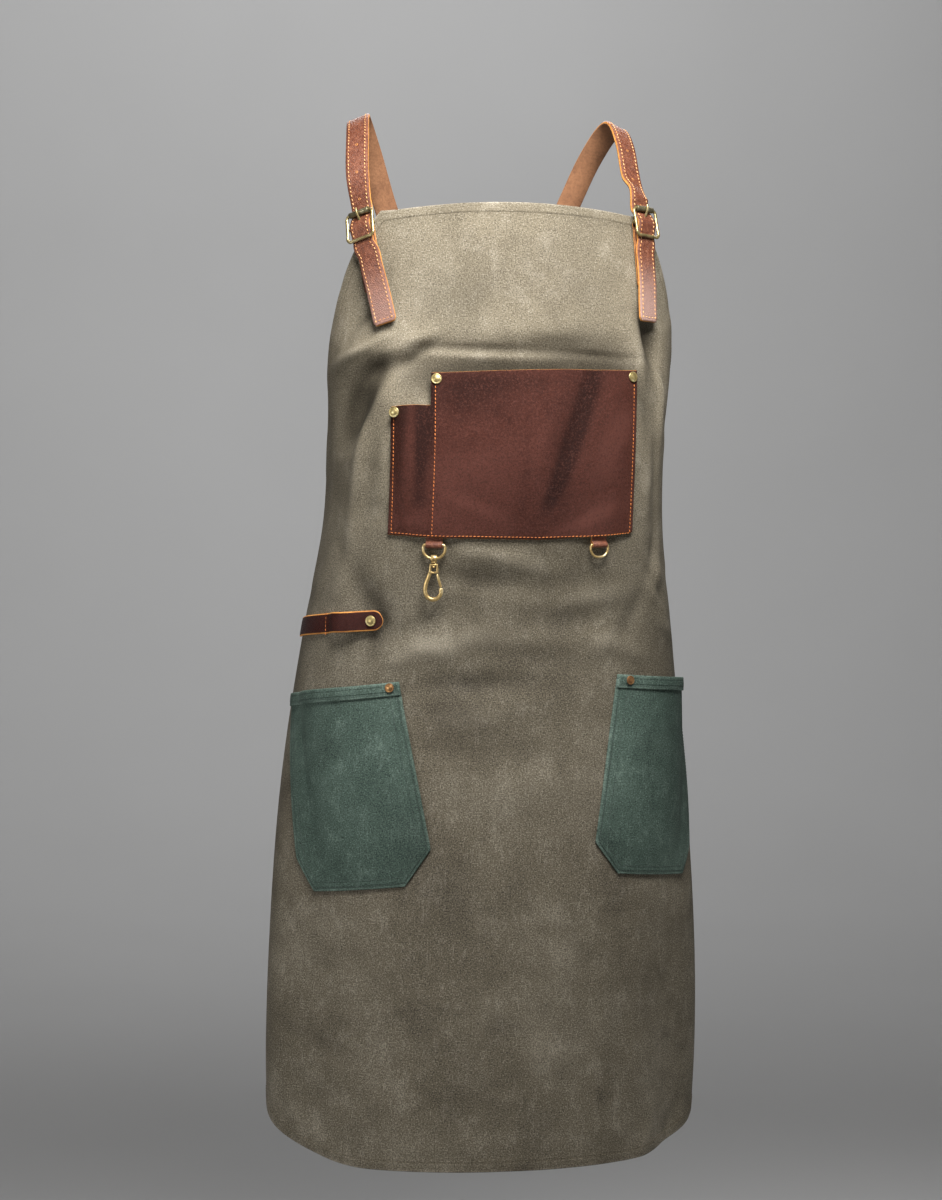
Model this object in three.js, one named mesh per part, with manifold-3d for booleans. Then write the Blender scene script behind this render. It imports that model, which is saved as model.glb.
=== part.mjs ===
// Waxed canvas work apron with leather chest pocket, buckled shoulder straps and two hip pockets,
// in the form that it takes when worn. Millimetres, +Z up, front towards -Y.
// The origin lies midway between the two straps, where they rest on the shoulders.
//
// Cloth and the pieces sewn on it are laid out in pattern coordinates: s runs along the
// horizontal section from the front centre line (positive to the viewer's right) and z is height.
import * as THREE from "three";
import Module from "manifold-3d";
import { mergeVertices } from "three/addons/utils/BufferGeometryUtils.js";

const wasm = await Module();
wasm.setup();

// Canvas
const CANVAS_WALL = 1.5;
const CANVAS_COLUMNS = 34;
const CANVAS_ROWS = 30;
const BIB_TOP = -85;
const BIB_DROP = 9;
const HEM = -966;
const SKIRT_HALF = 340;
const CORNER_FROM = 120;
const CORNER_WIDE = 228;
const CORNER_TALL = 190;

// Height of the pattern's zero line above the undersides of the straps
const HANG = 7.5;

// Distance between a sewn piece and the canvas under it
const SEAM = 0.7;
const STEP_GAP = 0.4;

// Horizontal sections of the worn form: distances of the front and of the rounded back from the
// side line, half width, squareness of the curve and sideways shift.
const FORM = [
  { z: -70, front: -96, side: -8, back: 70, half: 150, flat: 2.3, shift: 8 },
  { z: -130, front: -108, side: -8, back: 80, half: 157, flat: 2.4, shift: 8 },
  { z: -210, front: -126, side: -8, back: 85, half: 164, flat: 2.5, shift: 8 },
  { z: -300, front: -140, side: -8, back: 85, half: 158, flat: 2.6, shift: 7 },
  { z: -380, front: -137, side: -8, back: 85, half: 160, flat: 2.5, shift: 6 },
  { z: -460, front: -126, side: -8, back: 85, half: 172, flat: 2.4, shift: 4 },
  { z: -540, front: -131, side: -8, back: 90, half: 183, flat: 2.3, shift: 2 },
  { z: -640, front: -142, side: -6, back: 100, half: 195, flat: 2.25, shift: 1 },
  { z: -760, front: -150, side: -4, back: 110, half: 204, flat: 2.2, shift: 0 },
  { z: -880, front: -153, side: -4, back: 110, half: 206, flat: 2.2, shift: -1 },
  { z: -970, front: -154, side: -4, back: 110, half: 203, flat: 2.2, shift: -1 },
];

// Half width of the cut canvas from the bib down the armhole to the skirt
const CUT = [
  { z: -80, half: 114 },
  { z: -130, half: 156 },
  { z: -200, half: 196 },
  { z: -280, half: 232 },
  { z: -380, half: 296 },
  { z: -450, half: 336 },
  { z: -480, half: 340 },
  { z: -980, half: 340 },
];

// Folds of the canvas: centre, direction of the fold line in degrees, half length and half width
// of the fold and its rise (negative for a crease).
const FOLDS = [
  { s: 2, z: -217, turn: 0, long: 80, wide: 10, rise: -4 },
  { s: -140, z: -222, turn: 18, long: 60, wide: 13, rise: 4 },
  { s: -112, z: -236, turn: 15, long: 34, wide: 10, rise: -3 },
  { s: -152, z: -184, turn: 35, long: 30, wide: 14, rise: -4 },
  { s: 146, z: -216, turn: -60, long: 36, wide: 11, rise: -4 },
  { s: 126, z: -212, turn: -65, long: 34, wide: 13, rise: 3 },
  { s: 155, z: -425, turn: 65, long: 22, wide: 10, rise: 4 },
  { s: 166, z: -455, turn: -42, long: 26, wide: 10, rise: 4 },
  { s: 40, z: -428, turn: -24, long: 55, wide: 26, rise: -3 },
  { s: -236, z: -880, turn: 90, long: 180, wide: 30, rise: 6 },
  { s: -292, z: -860, turn: 90, long: 180, wide: 26, rise: -6 },
  { s: -180, z: -900, turn: 86, long: 140, wide: 26, rise: -3 },
  { s: 230, z: -880, turn: 90, long: 180, wide: 30, rise: 6 },
  { s: 288, z: -860, turn: 90, long: 180, wide: 26, rise: -6 },
  { s: 178, z: -905, turn: 94, long: 140, wide: 24, rise: -4 },
];

// Leather chest pocket: a row for each place along its width, from the pencil slot's outer edge
// over the step between slot and wide pocket to the right edge.
const CHEST_WALL = 1.8;
const CHEST_ROWS = 8;
const CHEST_LEFT = -118;
const CHEST_STEP = -81;
const CHEST_SEAM = -77;
const CHEST_RIGHT = 114;
const CHEST_BOW = 9;
const CHEST_OUTLINE = [
  { s: CHEST_LEFT, top: -272, foot: -386.8, spans: 4 },
  { s: CHEST_STEP - 0.3, top: -270, foot: -387.8, spans: 1 },
  { s: CHEST_STEP + 0.3, top: -241, foot: -387.8, spans: 8 },
  { s: 20, top: -238.5, foot: -389.6, spans: 8 },
  { s: CHEST_RIGHT, top: -236, foot: -383.4, spans: 0 },
];
const CHEST_RIVETS = [
  { name: "chest_rivet_slot", s: -113, z: -277 },
  { name: "chest_rivet_left", s: -76, z: -246.5 },
  { name: "chest_rivet_right", s: 108.5, z: -242 },
];
const CHEST_RIVET_RADIUS = 4.4;

// Ring tabs under the chest pocket, with the D-rings that hang in them
const TAB_WIDE = 15;
const TAB_WALL = 1.3;
const TAB_TUCK = 13;
const TAB_SEAT = 0.5;
const RINGS = [
  { side: "left", s: -74.5, z: -395, half: 10, drop: 12.2, wire: 1.3 },
  { side: "right", s: 77.5, z: -394, half: 8.9, drop: 11.2, wire: 1.1 },
];
const RING_PLAY = 0.35;

// Snap hook in the left ring: heights below the swivel's shoulder, half widths, wire radius
const HOOK_HEAD = { top: 3.5, foot: 4.5, tall: 8.8, thick: 4.4 };
const HOOK_WINDOW = { half: 2.3, top: -1.9, foot: -6.9 };
const HOOK_WIRE = 1.6;
const HOOK_ARM = [
  { x: -2.9, z: -7.4 },
  { x: -4.9, z: -12.5 },
  { x: -6.9, z: -18.5 },
  { x: -7.6, z: -24.5 },
  { x: -5.7, z: -29.8 },
  { x: -1.0, z: -32.4 },
  { x: 3.8, z: -31.0 },
  { x: 6.5, z: -27.2 },
  { x: 6.8, z: -22.1 },
];
const GATE_TOP = { x: 3.4, z: -10.4 };
const GATE_FOOT = { x: 6.4, z: -20.3 };
const GATE_WIRE = 1.2;
const SWIVEL = { eye: 3.4, hole: 2.15, wide: 5.4, shoulder: 2.2, stem: 1.1, head: 1.8, headTall: 1.4 };
const SWIVEL_SHOULDER = -4.6;

// Tool loop at the waist: a row for each place along the strip
const LOOP_WALL = 1.9;
const LOOP_TALL = 18.6;
const LOOP_STRIP = [
  { s: -252, z: -481, lift: 0, tall: 1 },
  { s: -225, z: -477.5, lift: 0, tall: 1 },
  { s: -196, z: -474, lift: 0, tall: 1 },
  { s: -180, z: -472, lift: 0, tall: 1 },
  { s: -174, z: -471.3, lift: 1.2, tall: 1 },
  { s: -163, z: -470, lift: 7.4, tall: 1 },
  { s: -152, z: -469, lift: 8.2, tall: 1 },
  { s: -141, z: -467.6, lift: 4.6, tall: 1 },
  { s: -134, z: -466.8, lift: 0.8, tall: 1 },
  { s: -128, z: -466.2, lift: 0, tall: 1 },
  { s: -123, z: -465.6, lift: 0, tall: 0.9 },
  { s: -119.4, z: -465.3, lift: 0, tall: 0.66 },
  { s: -117.6, z: -465, lift: 0, tall: 0.34 },
];
const LOOP_STUD = { s: -128.5, z: -466.5, radius: 4.6 };

// Hip pockets: the mouth, the lowest place of the full width and the foot, each from the inner to
// the outer edge.
const POCKET_WALL = 1.4;
const POCKET_COLUMNS = 10;
const POCKET_ROWS = 8;
const POCKET_BOW = 10.5;
const POCKET_FULL = 0.8;
const BAND_WALL = 1.3;
const BAND_TALL = 11.5;
const POCKETS = [
  {
    side: "left",
    mouth: { inner: [-101, -521], outer: [-240, -542] },
    low: { inner: [-71, -671], outer: [-207, -688] },
    foot: { inner: [-94, -705], outer: [-184, -716] },
    rivet: [-108, -526.5],
  },
  {
    side: "right",
    mouth: { inner: [105, -515], outer: [243, -529] },
    low: { inner: [83, -667], outer: [219, -682] },
    foot: { inner: [107, -697], outer: [197, -707] },
    rivet: [114, -520.5],
  },
];
const POCKET_RIVET_RADIUS = 4.3;

// Shoulder straps, as seen from the front: place and lean of each buckle on the bib's corner
const STRAP_WIDE = 22;
const STRAP_THICK = 3.6;
const BUCKLES = [
  { side: "left", hand: -1, s: -142, z: -109.5, lean: -17, tailLean: -12, tabLean: -9, over: 0, shift: -2.5 },
  { side: "right", hand: 1, s: 125, z: -101, lean: 4, tailLean: -3, tabLean: -3, over: 5.2, shift: -2.5 },
];
// Heights of the strap's middle above the canvas along the free tail, by distance under the bar,
// and the place where the tail leaves the buckle
const TAIL_FROM = 19;
const STRAP_TAIL = [
  { down: 92, lift: 4.6 },
  { down: 75, lift: 5.6 },
  { down: 58, lift: 6.8 },
  { down: 40, lift: 7.2 },
  { down: 27, lift: 7.2 },
];
// The weave through the buckle, along the strap and out from the canvas
const STRAP_WEAVE = [
  { up: -19, out: 7.0 },
  { up: -13, out: 6.9 },
  { up: -6.5, out: 8.5 },
  { up: 0, out: 9.5 },
  { up: 6.5, out: 6.6 },
  { up: 13, out: 2.6 },
  { up: 19, out: 2.4 },
  { up: 26, out: 3.0 },
];
// Over the shoulder and across the back, for the strap at the viewer's left, with the direction
// in which its face looks, how far one strap clears the other, and how far each keeps its buckle's
// own shift.
const STRAP_ROUTE = [
  { x: -129, y: -49, z: -51, nx: -0.48, ny: -0.76, nz: 0.44, clear: 0, near: 1 },
  { x: -126.5, y: -28, z: -16, nx: -0.44, ny: -0.5, nz: 0.75, clear: 0, near: 1 },
  { x: -123.5, y: -5, z: 1.6, nx: -0.41, ny: -0.1, nz: 0.91, clear: 0, near: 0.8 },
  { x: -119, y: 17, z: -0.5, nx: -0.38, ny: 0.3, nz: 0.87, clear: 0, near: 0.5 },
  { x: -106, y: 45, z: -27, nx: -0.3, ny: 0.64, nz: 0.7, clear: 0, near: 0.2 },
  { x: -85, y: 71, z: -82, nx: -0.2, ny: 0.88, nz: 0.42, clear: 0.2, near: 0 },
  { x: -53, y: 89, z: -150, nx: -0.1, ny: 0.97, nz: 0.2, clear: 0.8, near: 0 },
  { x: -18, y: 97, z: -208, nx: -0.03, ny: 1, nz: 0.05, clear: 1, near: 0 },
  { x: 18, y: 97, z: -262, nx: 0.03, ny: 1, nz: 0, clear: 1, near: 0 },
  { x: 53, y: 90, z: -325, nx: 0.25, ny: 0.96, nz: 0, clear: 0.7, near: 0 },
  { x: 83, y: 79, z: -385, nx: 0.45, ny: 0.89, nz: 0, clear: 0.1, near: 0 },
];
// Fixed end on the back corner of the skirt
const STRAP_END = [
  { s: 327, z: -428 },
  { s: 318, z: -447 },
  { s: 309, z: -466 },
  { s: 302, z: -482 },
];
const STRAP_RIVET = { s: 310.5, z: -463, radius: 4.6 };

// Buckles: bars by their distance along the strap and out from the canvas
const BAR = 1.4;
const BUCKLE_HALF = 14.2;
const BUCKLE_CORNER = 2.4;
const TOP_BAR = { up: 13, out: 8.2 };
const MIDDLE_BAR = { up: 0, out: 3.9 };
const LOW_BAR = { up: -13, out: 11.0 };
// Right half of the middle bar, which dips under the strap
const MIDDLE_BEND = [
  { x: 5, out: MIDDLE_BAR.out },
  { x: 10.4, out: MIDDLE_BAR.out },
  { x: 12.4, out: 4.9 },
  { x: 13.6, out: 7.4 },
  { x: BUCKLE_HALF, out: 9.6 },
];
const ROLLER = { outer: 2.8, inner: 1.8, half: 10.8 };
const PRONG_WIRE = 1.15;
const PRONG = [
  { up: 1.4, out: 6.0 },
  { up: 4.2, out: 7.6 },
  { up: 8.4, out: 10.4 },
  { up: 13, out: 12.5 },
  { up: 16.6, out: 12.3 },
];
const PRONG_EYE = { outer: 2.95, inner: 1.75, half: 1.3 };
const HOLE = { half: 1.8, low: 0.2, high: 8.6 };
const BUCKLE_TAB = { half: 10, leaf: 1.6, long: 58, slot: 2.1 };

const looks = {
  canvas: { color: 0x6b6250, roughness: 0.85, metalness: 0 },
  green: { color: 0x33443c, roughness: 0.8, metalness: 0 },
  darkLeather: { color: 0x4a2a22, roughness: 0.5, metalness: 0 },
  strapLeather: { color: 0x7b4630, roughness: 0.55, metalness: 0 },
  brass: { color: 0x9c8656, roughness: 0.35, metalness: 1 },
  gold: { color: 0xa98849, roughness: 0.3, metalness: 1 },
  steel: { color: 0x55524a, roughness: 0.4, metalness: 1 },
};

const apron = new THREE.Group();

function mesh(name, geometry, look, parent = apron) {
  const made = new THREE.Mesh(geometry, new THREE.MeshStandardMaterial(looks[look]));
  made.name = name;
  parent.add(made);
  return made;
}

// Smooth value of one column of a table, whose rows run down in z
function column(table, name, z) {
  const last = table.length - 1;
  const at = Math.min(Math.max(z, table[last].z), table[0].z);
  let i = 0;
  while (i < last - 1 && table[i + 1].z > at) i += 1;
  const slope = (k) => (table[k + 1][name] - table[k][name]) / (table[k + 1].z - table[k].z);
  const tangent = (k) => {
    if (k === 0) return slope(0);
    if (k === last) return slope(last - 1);
    const above = table[k - 1].z - table[k].z;
    const below = table[k].z - table[k + 1].z;
    return (slope(k - 1) * below + slope(k) * above) / (above + below);
  };
  const h = table[i + 1].z - table[i].z;
  const t = (at - table[i].z) / h;
  return (
    (1 + 2 * t) * (1 - t) ** 2 * table[i][name] +
    t * (1 - t) ** 2 * h * tangent(i) +
    t * t * (3 - 2 * t) * table[i + 1][name] +
    t * t * (t - 1) * h * tangent(i + 1)
  );
}

// Point of the unfolded form at pattern place s, z
function formPoint(s, z) {
  const row = {};
  for (const name of ["front", "side", "back", "half", "flat", "shift"]) {
    row[name] = column(FORM, name, z);
  }
  const power = 2 / row.flat;
  const around = (angle) => {
    const c = Math.cos(angle);
    const bent = Math.abs(c) ** power;
    return new THREE.Vector2(
      row.half * Math.abs(Math.sin(angle)) ** power,
      c > 0 ? row.side - (row.side - row.front) * bent : row.side + row.back * bent,
    );
  };
  const wanted = Math.abs(s);
  const step = (165 * Math.PI) / 180 / 140;
  let before = around(0);
  let length = 0;
  for (let k = 1; k <= 140; k += 1) {
    const next = around(k * step);
    const span = before.distanceTo(next);
    if (length + span >= wanted || k === 140) {
      const p = before.clone().lerp(next, (wanted - length) / span);
      return new THREE.Vector3(row.shift + Math.sign(s) * p.x, p.y, z + HANG);
    }
    length += span;
    before = next;
  }
  return null;
}

function formNormal(s, z) {
  const along = formPoint(s + 2, z).sub(formPoint(s - 2, z));
  const up = formPoint(s, z + 3).sub(formPoint(s, z - 3));
  return along.cross(up).normalize();
}

function foldRise(s, z) {
  let rise = 0;
  for (const fold of FOLDS) {
    const turn = THREE.MathUtils.degToRad(fold.turn);
    const ds = s - fold.s;
    const dz = z - fold.z;
    const along = (ds * Math.cos(turn) + dz * Math.sin(turn)) / fold.long;
    const across = (dz * Math.cos(turn) - ds * Math.sin(turn)) / fold.wide;
    rise += fold.rise * Math.exp(-along * along - across * across);
  }
  return rise;
}

// Point on the canvas's outer face, raised by lift
function cloth(s, z, lift = 0) {
  return formPoint(s, z).addScaledVector(formNormal(s, z), foldRise(s, z) + lift);
}

// Indexed geometry from points and triangles, turned so that its faces look out
function solidGeometry(points, triangles) {
  let volume = 0;
  for (const [a, b, c] of triangles) {
    volume += points[a].dot(points[b].clone().cross(points[c]));
  }
  const index = triangles.flatMap(([a, b, c]) => (volume > 0 ? [a, b, c] : [a, c, b]));
  const geometry = new THREE.BufferGeometry().setFromPoints(points);
  geometry.setIndex(index);
  return geometry;
}

// Wall between two grids of points: place(row, column, side) gives the point on each side
function wallGeometry(rows, columns, place) {
  const points = [];
  const triangles = [];
  const at = (i, j, side) => (side * (rows + 1) + i) * (columns + 1) + j;
  for (let side = 0; side < 2; side += 1) {
    for (let i = 0; i <= rows; i += 1) {
      for (let j = 0; j <= columns; j += 1) points.push(place(i, j, side));
    }
  }
  const quad = (a, b, c, d) => triangles.push([a, b, c], [a, c, d]);
  for (let i = 0; i < rows; i += 1) {
    for (let j = 0; j < columns; j += 1) {
      quad(at(i, j, 0), at(i + 1, j, 0), at(i + 1, j + 1, 0), at(i, j + 1, 0));
      quad(at(i, j, 1), at(i, j + 1, 1), at(i + 1, j + 1, 1), at(i + 1, j, 1));
    }
  }
  for (let i = 0; i < rows; i += 1) {
    quad(at(i, 0, 0), at(i, 0, 1), at(i + 1, 0, 1), at(i + 1, 0, 0));
    quad(at(i, columns, 0), at(i + 1, columns, 0), at(i + 1, columns, 1), at(i, columns, 1));
  }
  for (let j = 0; j < columns; j += 1) {
    quad(at(0, j, 0), at(0, j + 1, 0), at(0, j + 1, 1), at(0, j, 1));
    quad(at(rows, j, 0), at(rows, j, 1), at(rows, j + 1, 1), at(rows, j + 1, 0));
  }
  return solidGeometry(points, triangles);
}

// Flat strip along stations { at, out, wide }, smoothed between them
function ribbonGeometry(stations, thick, perSpan) {
  const path = new THREE.CatmullRomCurve3(stations.map((k) => k.at));
  const face = new THREE.CatmullRomCurve3(stations.map((k) => k.out));
  const spans = stations.length - 1;
  const rows = spans * perSpan;
  const frames = [];
  for (let i = 0; i <= rows; i += 1) {
    const t = i / rows;
    const k = Math.min(Math.floor(t * spans), spans - 1);
    const wide = THREE.MathUtils.lerp(stations[k].wide, stations[k + 1].wide, t * spans - k);
    const along = path.getTangent(t);
    const out = face.getPoint(t);
    out.addScaledVector(along, -out.dot(along)).normalize();
    frames.push({ at: path.getPoint(t), out, across: along.clone().cross(out), wide });
  }
  return wallGeometry(rows, 1, (i, j, side) => {
    const f = frames[i];
    return f.at
      .clone()
      .addScaledVector(f.across, (j - 0.5) * f.wide)
      .addScaledVector(f.out, (0.5 - side) * thick);
  });
}

// Closed ring of round wire along a closed curve
function ringGeometry(corners, radius, steps, sides = 8) {
  const path = new THREE.CatmullRomCurve3(corners, true, "centripetal");
  const frames = path.computeFrenetFrames(steps, true);
  const points = [];
  const triangles = [];
  for (let i = 0; i < steps; i += 1) {
    const centre = path.getPointAt(i / steps);
    for (let j = 0; j < sides; j += 1) {
      const angle = (j / sides) * Math.PI * 2;
      points.push(
        centre
          .clone()
          .addScaledVector(frames.normals[i], radius * Math.cos(angle))
          .addScaledVector(frames.binormals[i], radius * Math.sin(angle)),
      );
    }
  }
  for (let i = 0; i < steps; i += 1) {
    for (let j = 0; j < sides; j += 1) {
      const a = i * sides + j;
      const b = i * sides + ((j + 1) % sides);
      const c = ((i + 1) % steps) * sides + ((j + 1) % sides);
      const d = ((i + 1) % steps) * sides + j;
      triangles.push([a, b, c], [a, c, d]);
    }
  }
  return solidGeometry(points, triangles);
}

// Round wire with flat ends along points
function wireGeometry(points, radius, steps, sides = 8) {
  const section = new THREE.Shape();
  section.absarc(0, 0, radius, 0, Math.PI * 2);
  return new THREE.ExtrudeGeometry(section, {
    steps,
    curveSegments: sides / 2,
    extrudePath: new THREE.CatmullRomCurve3(points),
  });
}

function tubeGeometry(outer, inner, half, sides = 12) {
  const profile = [
    new THREE.Vector2(inner, -half),
    new THREE.Vector2(outer, -half),
    new THREE.Vector2(outer, half),
    new THREE.Vector2(inner, half),
    new THREE.Vector2(inner, -half),
  ];
  return new THREE.LatheGeometry(profile, sides);
}

function solidOf(geometry) {
  const bare = geometry.clone();
  bare.deleteAttribute("normal");
  bare.deleteAttribute("uv");
  const merged = mergeVertices(bare, 1e-4);
  return new wasm.Manifold(
    new wasm.Mesh({
      numProp: 3,
      vertProperties: new Float32Array(merged.getAttribute("position").array),
      triVerts: new Uint32Array(merged.index.array),
    }),
  );
}

function geometryOf(solid) {
  const data = solid.getMesh();
  const geometry = new THREE.BufferGeometry();
  geometry.setAttribute("position", new THREE.BufferAttribute(data.vertProperties, data.numProp));
  geometry.setIndex(new THREE.BufferAttribute(data.triVerts, 1));
  return geometry;
}

// Domed cap on a face of the apron, its axis along the face's direction
function rivet(name, s, z, lift, radius, look) {
  const profile = [
    [0, 0],
    [radius, 0],
    [radius, 0.5],
    [radius * 0.72, 1.7],
    [0, 2.3],
  ].map(([r, h]) => new THREE.Vector2(r, h));
  const cap = mesh(name, new THREE.LatheGeometry(profile, 10), look);
  cap.position.copy(cloth(s, z, lift));
  cap.quaternion.setFromUnitVectors(new THREE.Vector3(0, 1, 0), formNormal(s, z));
}

// Canvas

function cutHalf(z) {
  return column(CUT, "half", z);
}

function canvasPlace(a, b) {
  const topZ = BIB_TOP - BIB_DROP * a * a;
  const past = Math.max(0, Math.abs(a) * SKIRT_HALF - CORNER_FROM) / CORNER_WIDE;
  const hemZ = HEM + CORNER_TALL * (1 - Math.sqrt(1 - past * past));
  const z = THREE.MathUtils.lerp(topZ, hemZ, b ** 1.22);
  return { s: a * cutHalf(z), z };
}

function canvasAcross(j) {
  const even = (2 * j) / CANVAS_COLUMNS - 1;
  return 0.65 * even + 0.35 * Math.sin((even * Math.PI) / 2);
}

mesh(
  "canvas_body",
  wallGeometry(CANVAS_ROWS, CANVAS_COLUMNS, (i, j, side) => {
    const { s, z } = canvasPlace(canvasAcross(j), i / CANVAS_ROWS);
    return cloth(s, z, -side * CANVAS_WALL);
  }),
  "canvas",
);

// Chest pocket

function chestLift(s, down) {
  const [from, to] = s < CHEST_SEAM ? [CHEST_LEFT, CHEST_STEP] : [CHEST_SEAM, CHEST_RIGHT];
  const part = THREE.MathUtils.clamp((s - from) / (to - from), 0, 1);
  const bow = CHEST_BOW * Math.sin(part * Math.PI) ** 1.5 * Math.cos((down * Math.PI) / 2) ** 0.8;
  let tabs = 0;
  for (const ring of RINGS) {
    const away = Math.max(0, Math.abs(s - ring.s) - TAB_WIDE / 2 - 2) / 7;
    tabs = Math.max(tabs, 4.3 * Math.exp(-away * away) * THREE.MathUtils.smoothstep(down, 0.66, 0.9));
  }
  return SEAM + Math.max(bow, tabs);
}

function chestColumns() {
  const columns = [];
  CHEST_OUTLINE.forEach((row, k) => {
    const next = CHEST_OUTLINE[k + 1];
    for (let i = 0; i < row.spans; i += 1) {
      const t = i / row.spans;
      columns.push({
        s: THREE.MathUtils.lerp(row.s, next.s, t),
        top: THREE.MathUtils.lerp(row.top, next.top, t),
        foot: THREE.MathUtils.lerp(row.foot, next.foot, t),
      });
    }
    if (!next) columns.push(row);
  });
  return columns;
}

const chest = chestColumns();
mesh(
  "chest_pocket",
  wallGeometry(CHEST_ROWS, chest.length - 1, (i, j, side) => {
    const { s, top, foot } = chest[j];
    const z = THREE.MathUtils.lerp(top, foot, i / CHEST_ROWS);
    const down = THREE.MathUtils.clamp((z + 238) / -151, 0, 1);
    return cloth(s, z, chestLift(s, down) + (1 - side) * CHEST_WALL);
  }),
  "darkLeather",
);
for (const { name, s, z } of CHEST_RIVETS) {
  const down = (z + 238) / -151;
  const reach = [-CHEST_RIVET_RADIUS, 0, CHEST_RIVET_RADIUS];
  const face = Math.max(...reach.map((off) => chestLift(s + off, down))) + CHEST_WALL;
  rivet(name, s, z, face + STEP_GAP, CHEST_RIVET_RADIUS, "brass");
}

// Ring tabs, rings and hook: each ring hangs in a frame whose origin is the middle of its bar,
// with x along the bar, y into the apron and z up.

for (const ring of RINGS) {
  const loop = ring.wire + RING_PLAY + TAB_WALL;
  const normal = formNormal(ring.s, ring.z);
  const hang = new THREE.Group();
  const barLift = loop + SEAM + 0.3;
  hang.position.copy(cloth(ring.s, ring.z, barLift));
  hang.rotation.z = Math.atan2(normal.x, -normal.y);
  apron.add(hang);

  const forward = new THREE.Vector3(normal.x, normal.y, 0).normalize();
  const rise = cloth(ring.s, ring.z + TAB_TUCK).sub(cloth(ring.s, ring.z)).dot(forward);
  const back = barLift - TAB_SEAT;
  const front = back - 2 * TAB_WALL;
  const profile = new THREE.Shape();
  profile.moveTo(back - rise, TAB_TUCK);
  profile.lineTo(back, 1);
  profile.absarc(0, 0, loop, 0.35, -Math.PI * 1.5, true);
  profile.lineTo(front, loop);
  profile.lineTo(front - rise, TAB_TUCK);
  const eye = new THREE.Path();
  eye.absarc(0, 0, ring.wire + RING_PLAY, 0, Math.PI * 2);
  profile.holes.push(eye);
  const tab = new THREE.ExtrudeGeometry(profile, {
    depth: TAB_WIDE,
    bevelEnabled: false,
    curveSegments: 7,
  });
  tab.translate(0, 0, -TAB_WIDE / 2);
  const [alongBar, inward, upward] = [0, 1, 2].map((k) => new THREE.Vector3().setComponent(k, 1));
  tab.applyMatrix4(new THREE.Matrix4().makeBasis(inward, upward, alongBar));
  mesh(`ring_tab_${ring.side}`, tab, "strapLeather", hang);

  const bend = [
    [-0.86, 0],
    [-0.45, 0],
    [0.45, 0],
    [0.86, 0],
    [0.97, -0.1],
    [1, -0.3],
    [0.9, -0.62],
    [0.52, -0.92],
    [0, -1],
    [-0.52, -0.92],
    [-0.9, -0.62],
    [-1, -0.3],
    [-0.97, -0.1],
  ].map(([x, z]) => new THREE.Vector3(x * ring.half, 0, z * ring.drop));
  mesh(`ring_${ring.side}`, ringGeometry(bend, ring.wire, 20, 6), "gold", hang);

  if (ring.side === "left") {
    const hook = new THREE.Group();
    hook.position.z = -ring.drop;
    hang.add(hook);

    const eyeShape = new THREE.Shape();
    eyeShape.absarc(0, 0, SWIVEL.eye, 0, Math.PI);
    eyeShape.lineTo(-SWIVEL.shoulder, SWIVEL_SHOULDER + 0.35);
    eyeShape.lineTo(SWIVEL.shoulder, SWIVEL_SHOULDER + 0.35);
    const hole = new THREE.Path();
    hole.absarc(0, 0, SWIVEL.hole, 0, Math.PI * 2);
    eyeShape.holes.push(hole);
    const eyeBand = new THREE.ExtrudeGeometry(eyeShape, {
      depth: SWIVEL.wide,
      bevelEnabled: false,
      curveSegments: 6,
    });
    eyeBand.translate(0, 0, -SWIVEL.wide / 2);
    eyeBand.rotateX(Math.PI / 2);
    eyeBand.rotateZ(Math.PI / 2);
    const pin = new THREE.LatheGeometry(
      [
        [0, SWIVEL_SHOULDER - 2.3 - SWIVEL.headTall],
        [SWIVEL.head, SWIVEL_SHOULDER - 2.3 - SWIVEL.headTall],
        [SWIVEL.head, SWIVEL_SHOULDER - 2.3],
        [SWIVEL.stem, SWIVEL_SHOULDER - 2.3],
        [SWIVEL.stem, SWIVEL_SHOULDER + 1],
        [0, SWIVEL_SHOULDER + 1],
      ].map(([r, h]) => new THREE.Vector2(r, h)),
      10,
    );
    pin.rotateX(Math.PI / 2);
    mesh("hook_swivel", geometryOf(solidOf(eyeBand).add(solidOf(pin))), "gold", hook);

    const body = new THREE.Group();
    body.position.z = SWIVEL_SHOULDER;
    hook.add(body);
    const head = new THREE.Shape();
    head.moveTo(-HOOK_HEAD.foot, -HOOK_HEAD.tall);
    head.lineTo(HOOK_HEAD.foot, -HOOK_HEAD.tall);
    head.lineTo(HOOK_HEAD.top, 0);
    head.lineTo(-HOOK_HEAD.top, 0);
    const window = new THREE.Path();
    window.moveTo(-HOOK_WINDOW.half, HOOK_WINDOW.top);
    window.lineTo(HOOK_WINDOW.half, HOOK_WINDOW.top);
    window.lineTo(HOOK_WINDOW.half, HOOK_WINDOW.foot);
    window.lineTo(-HOOK_WINDOW.half, HOOK_WINDOW.foot);
    head.holes.push(window);
    const plate = new THREE.ExtrudeGeometry(head, { depth: HOOK_HEAD.thick, bevelEnabled: false });
    plate.translate(0, 0, -HOOK_HEAD.thick / 2);
    plate.rotateX(Math.PI / 2);
    const stemHole = new THREE.CylinderGeometry(SWIVEL.stem + 0.35, SWIVEL.stem + 0.35, 6, 10);
    stemHole.rotateX(Math.PI / 2);
    const arm = wireGeometry(
      HOOK_ARM.map(({ x, z }) => new THREE.Vector3(x, 0, z)),
      HOOK_WIRE,
      20,
      8,
    );
    const whole = solidOf(plate).add(solidOf(arm)).subtract(solidOf(stemHole));
    mesh("hook_body", geometryOf(whole), "gold", body);

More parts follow.
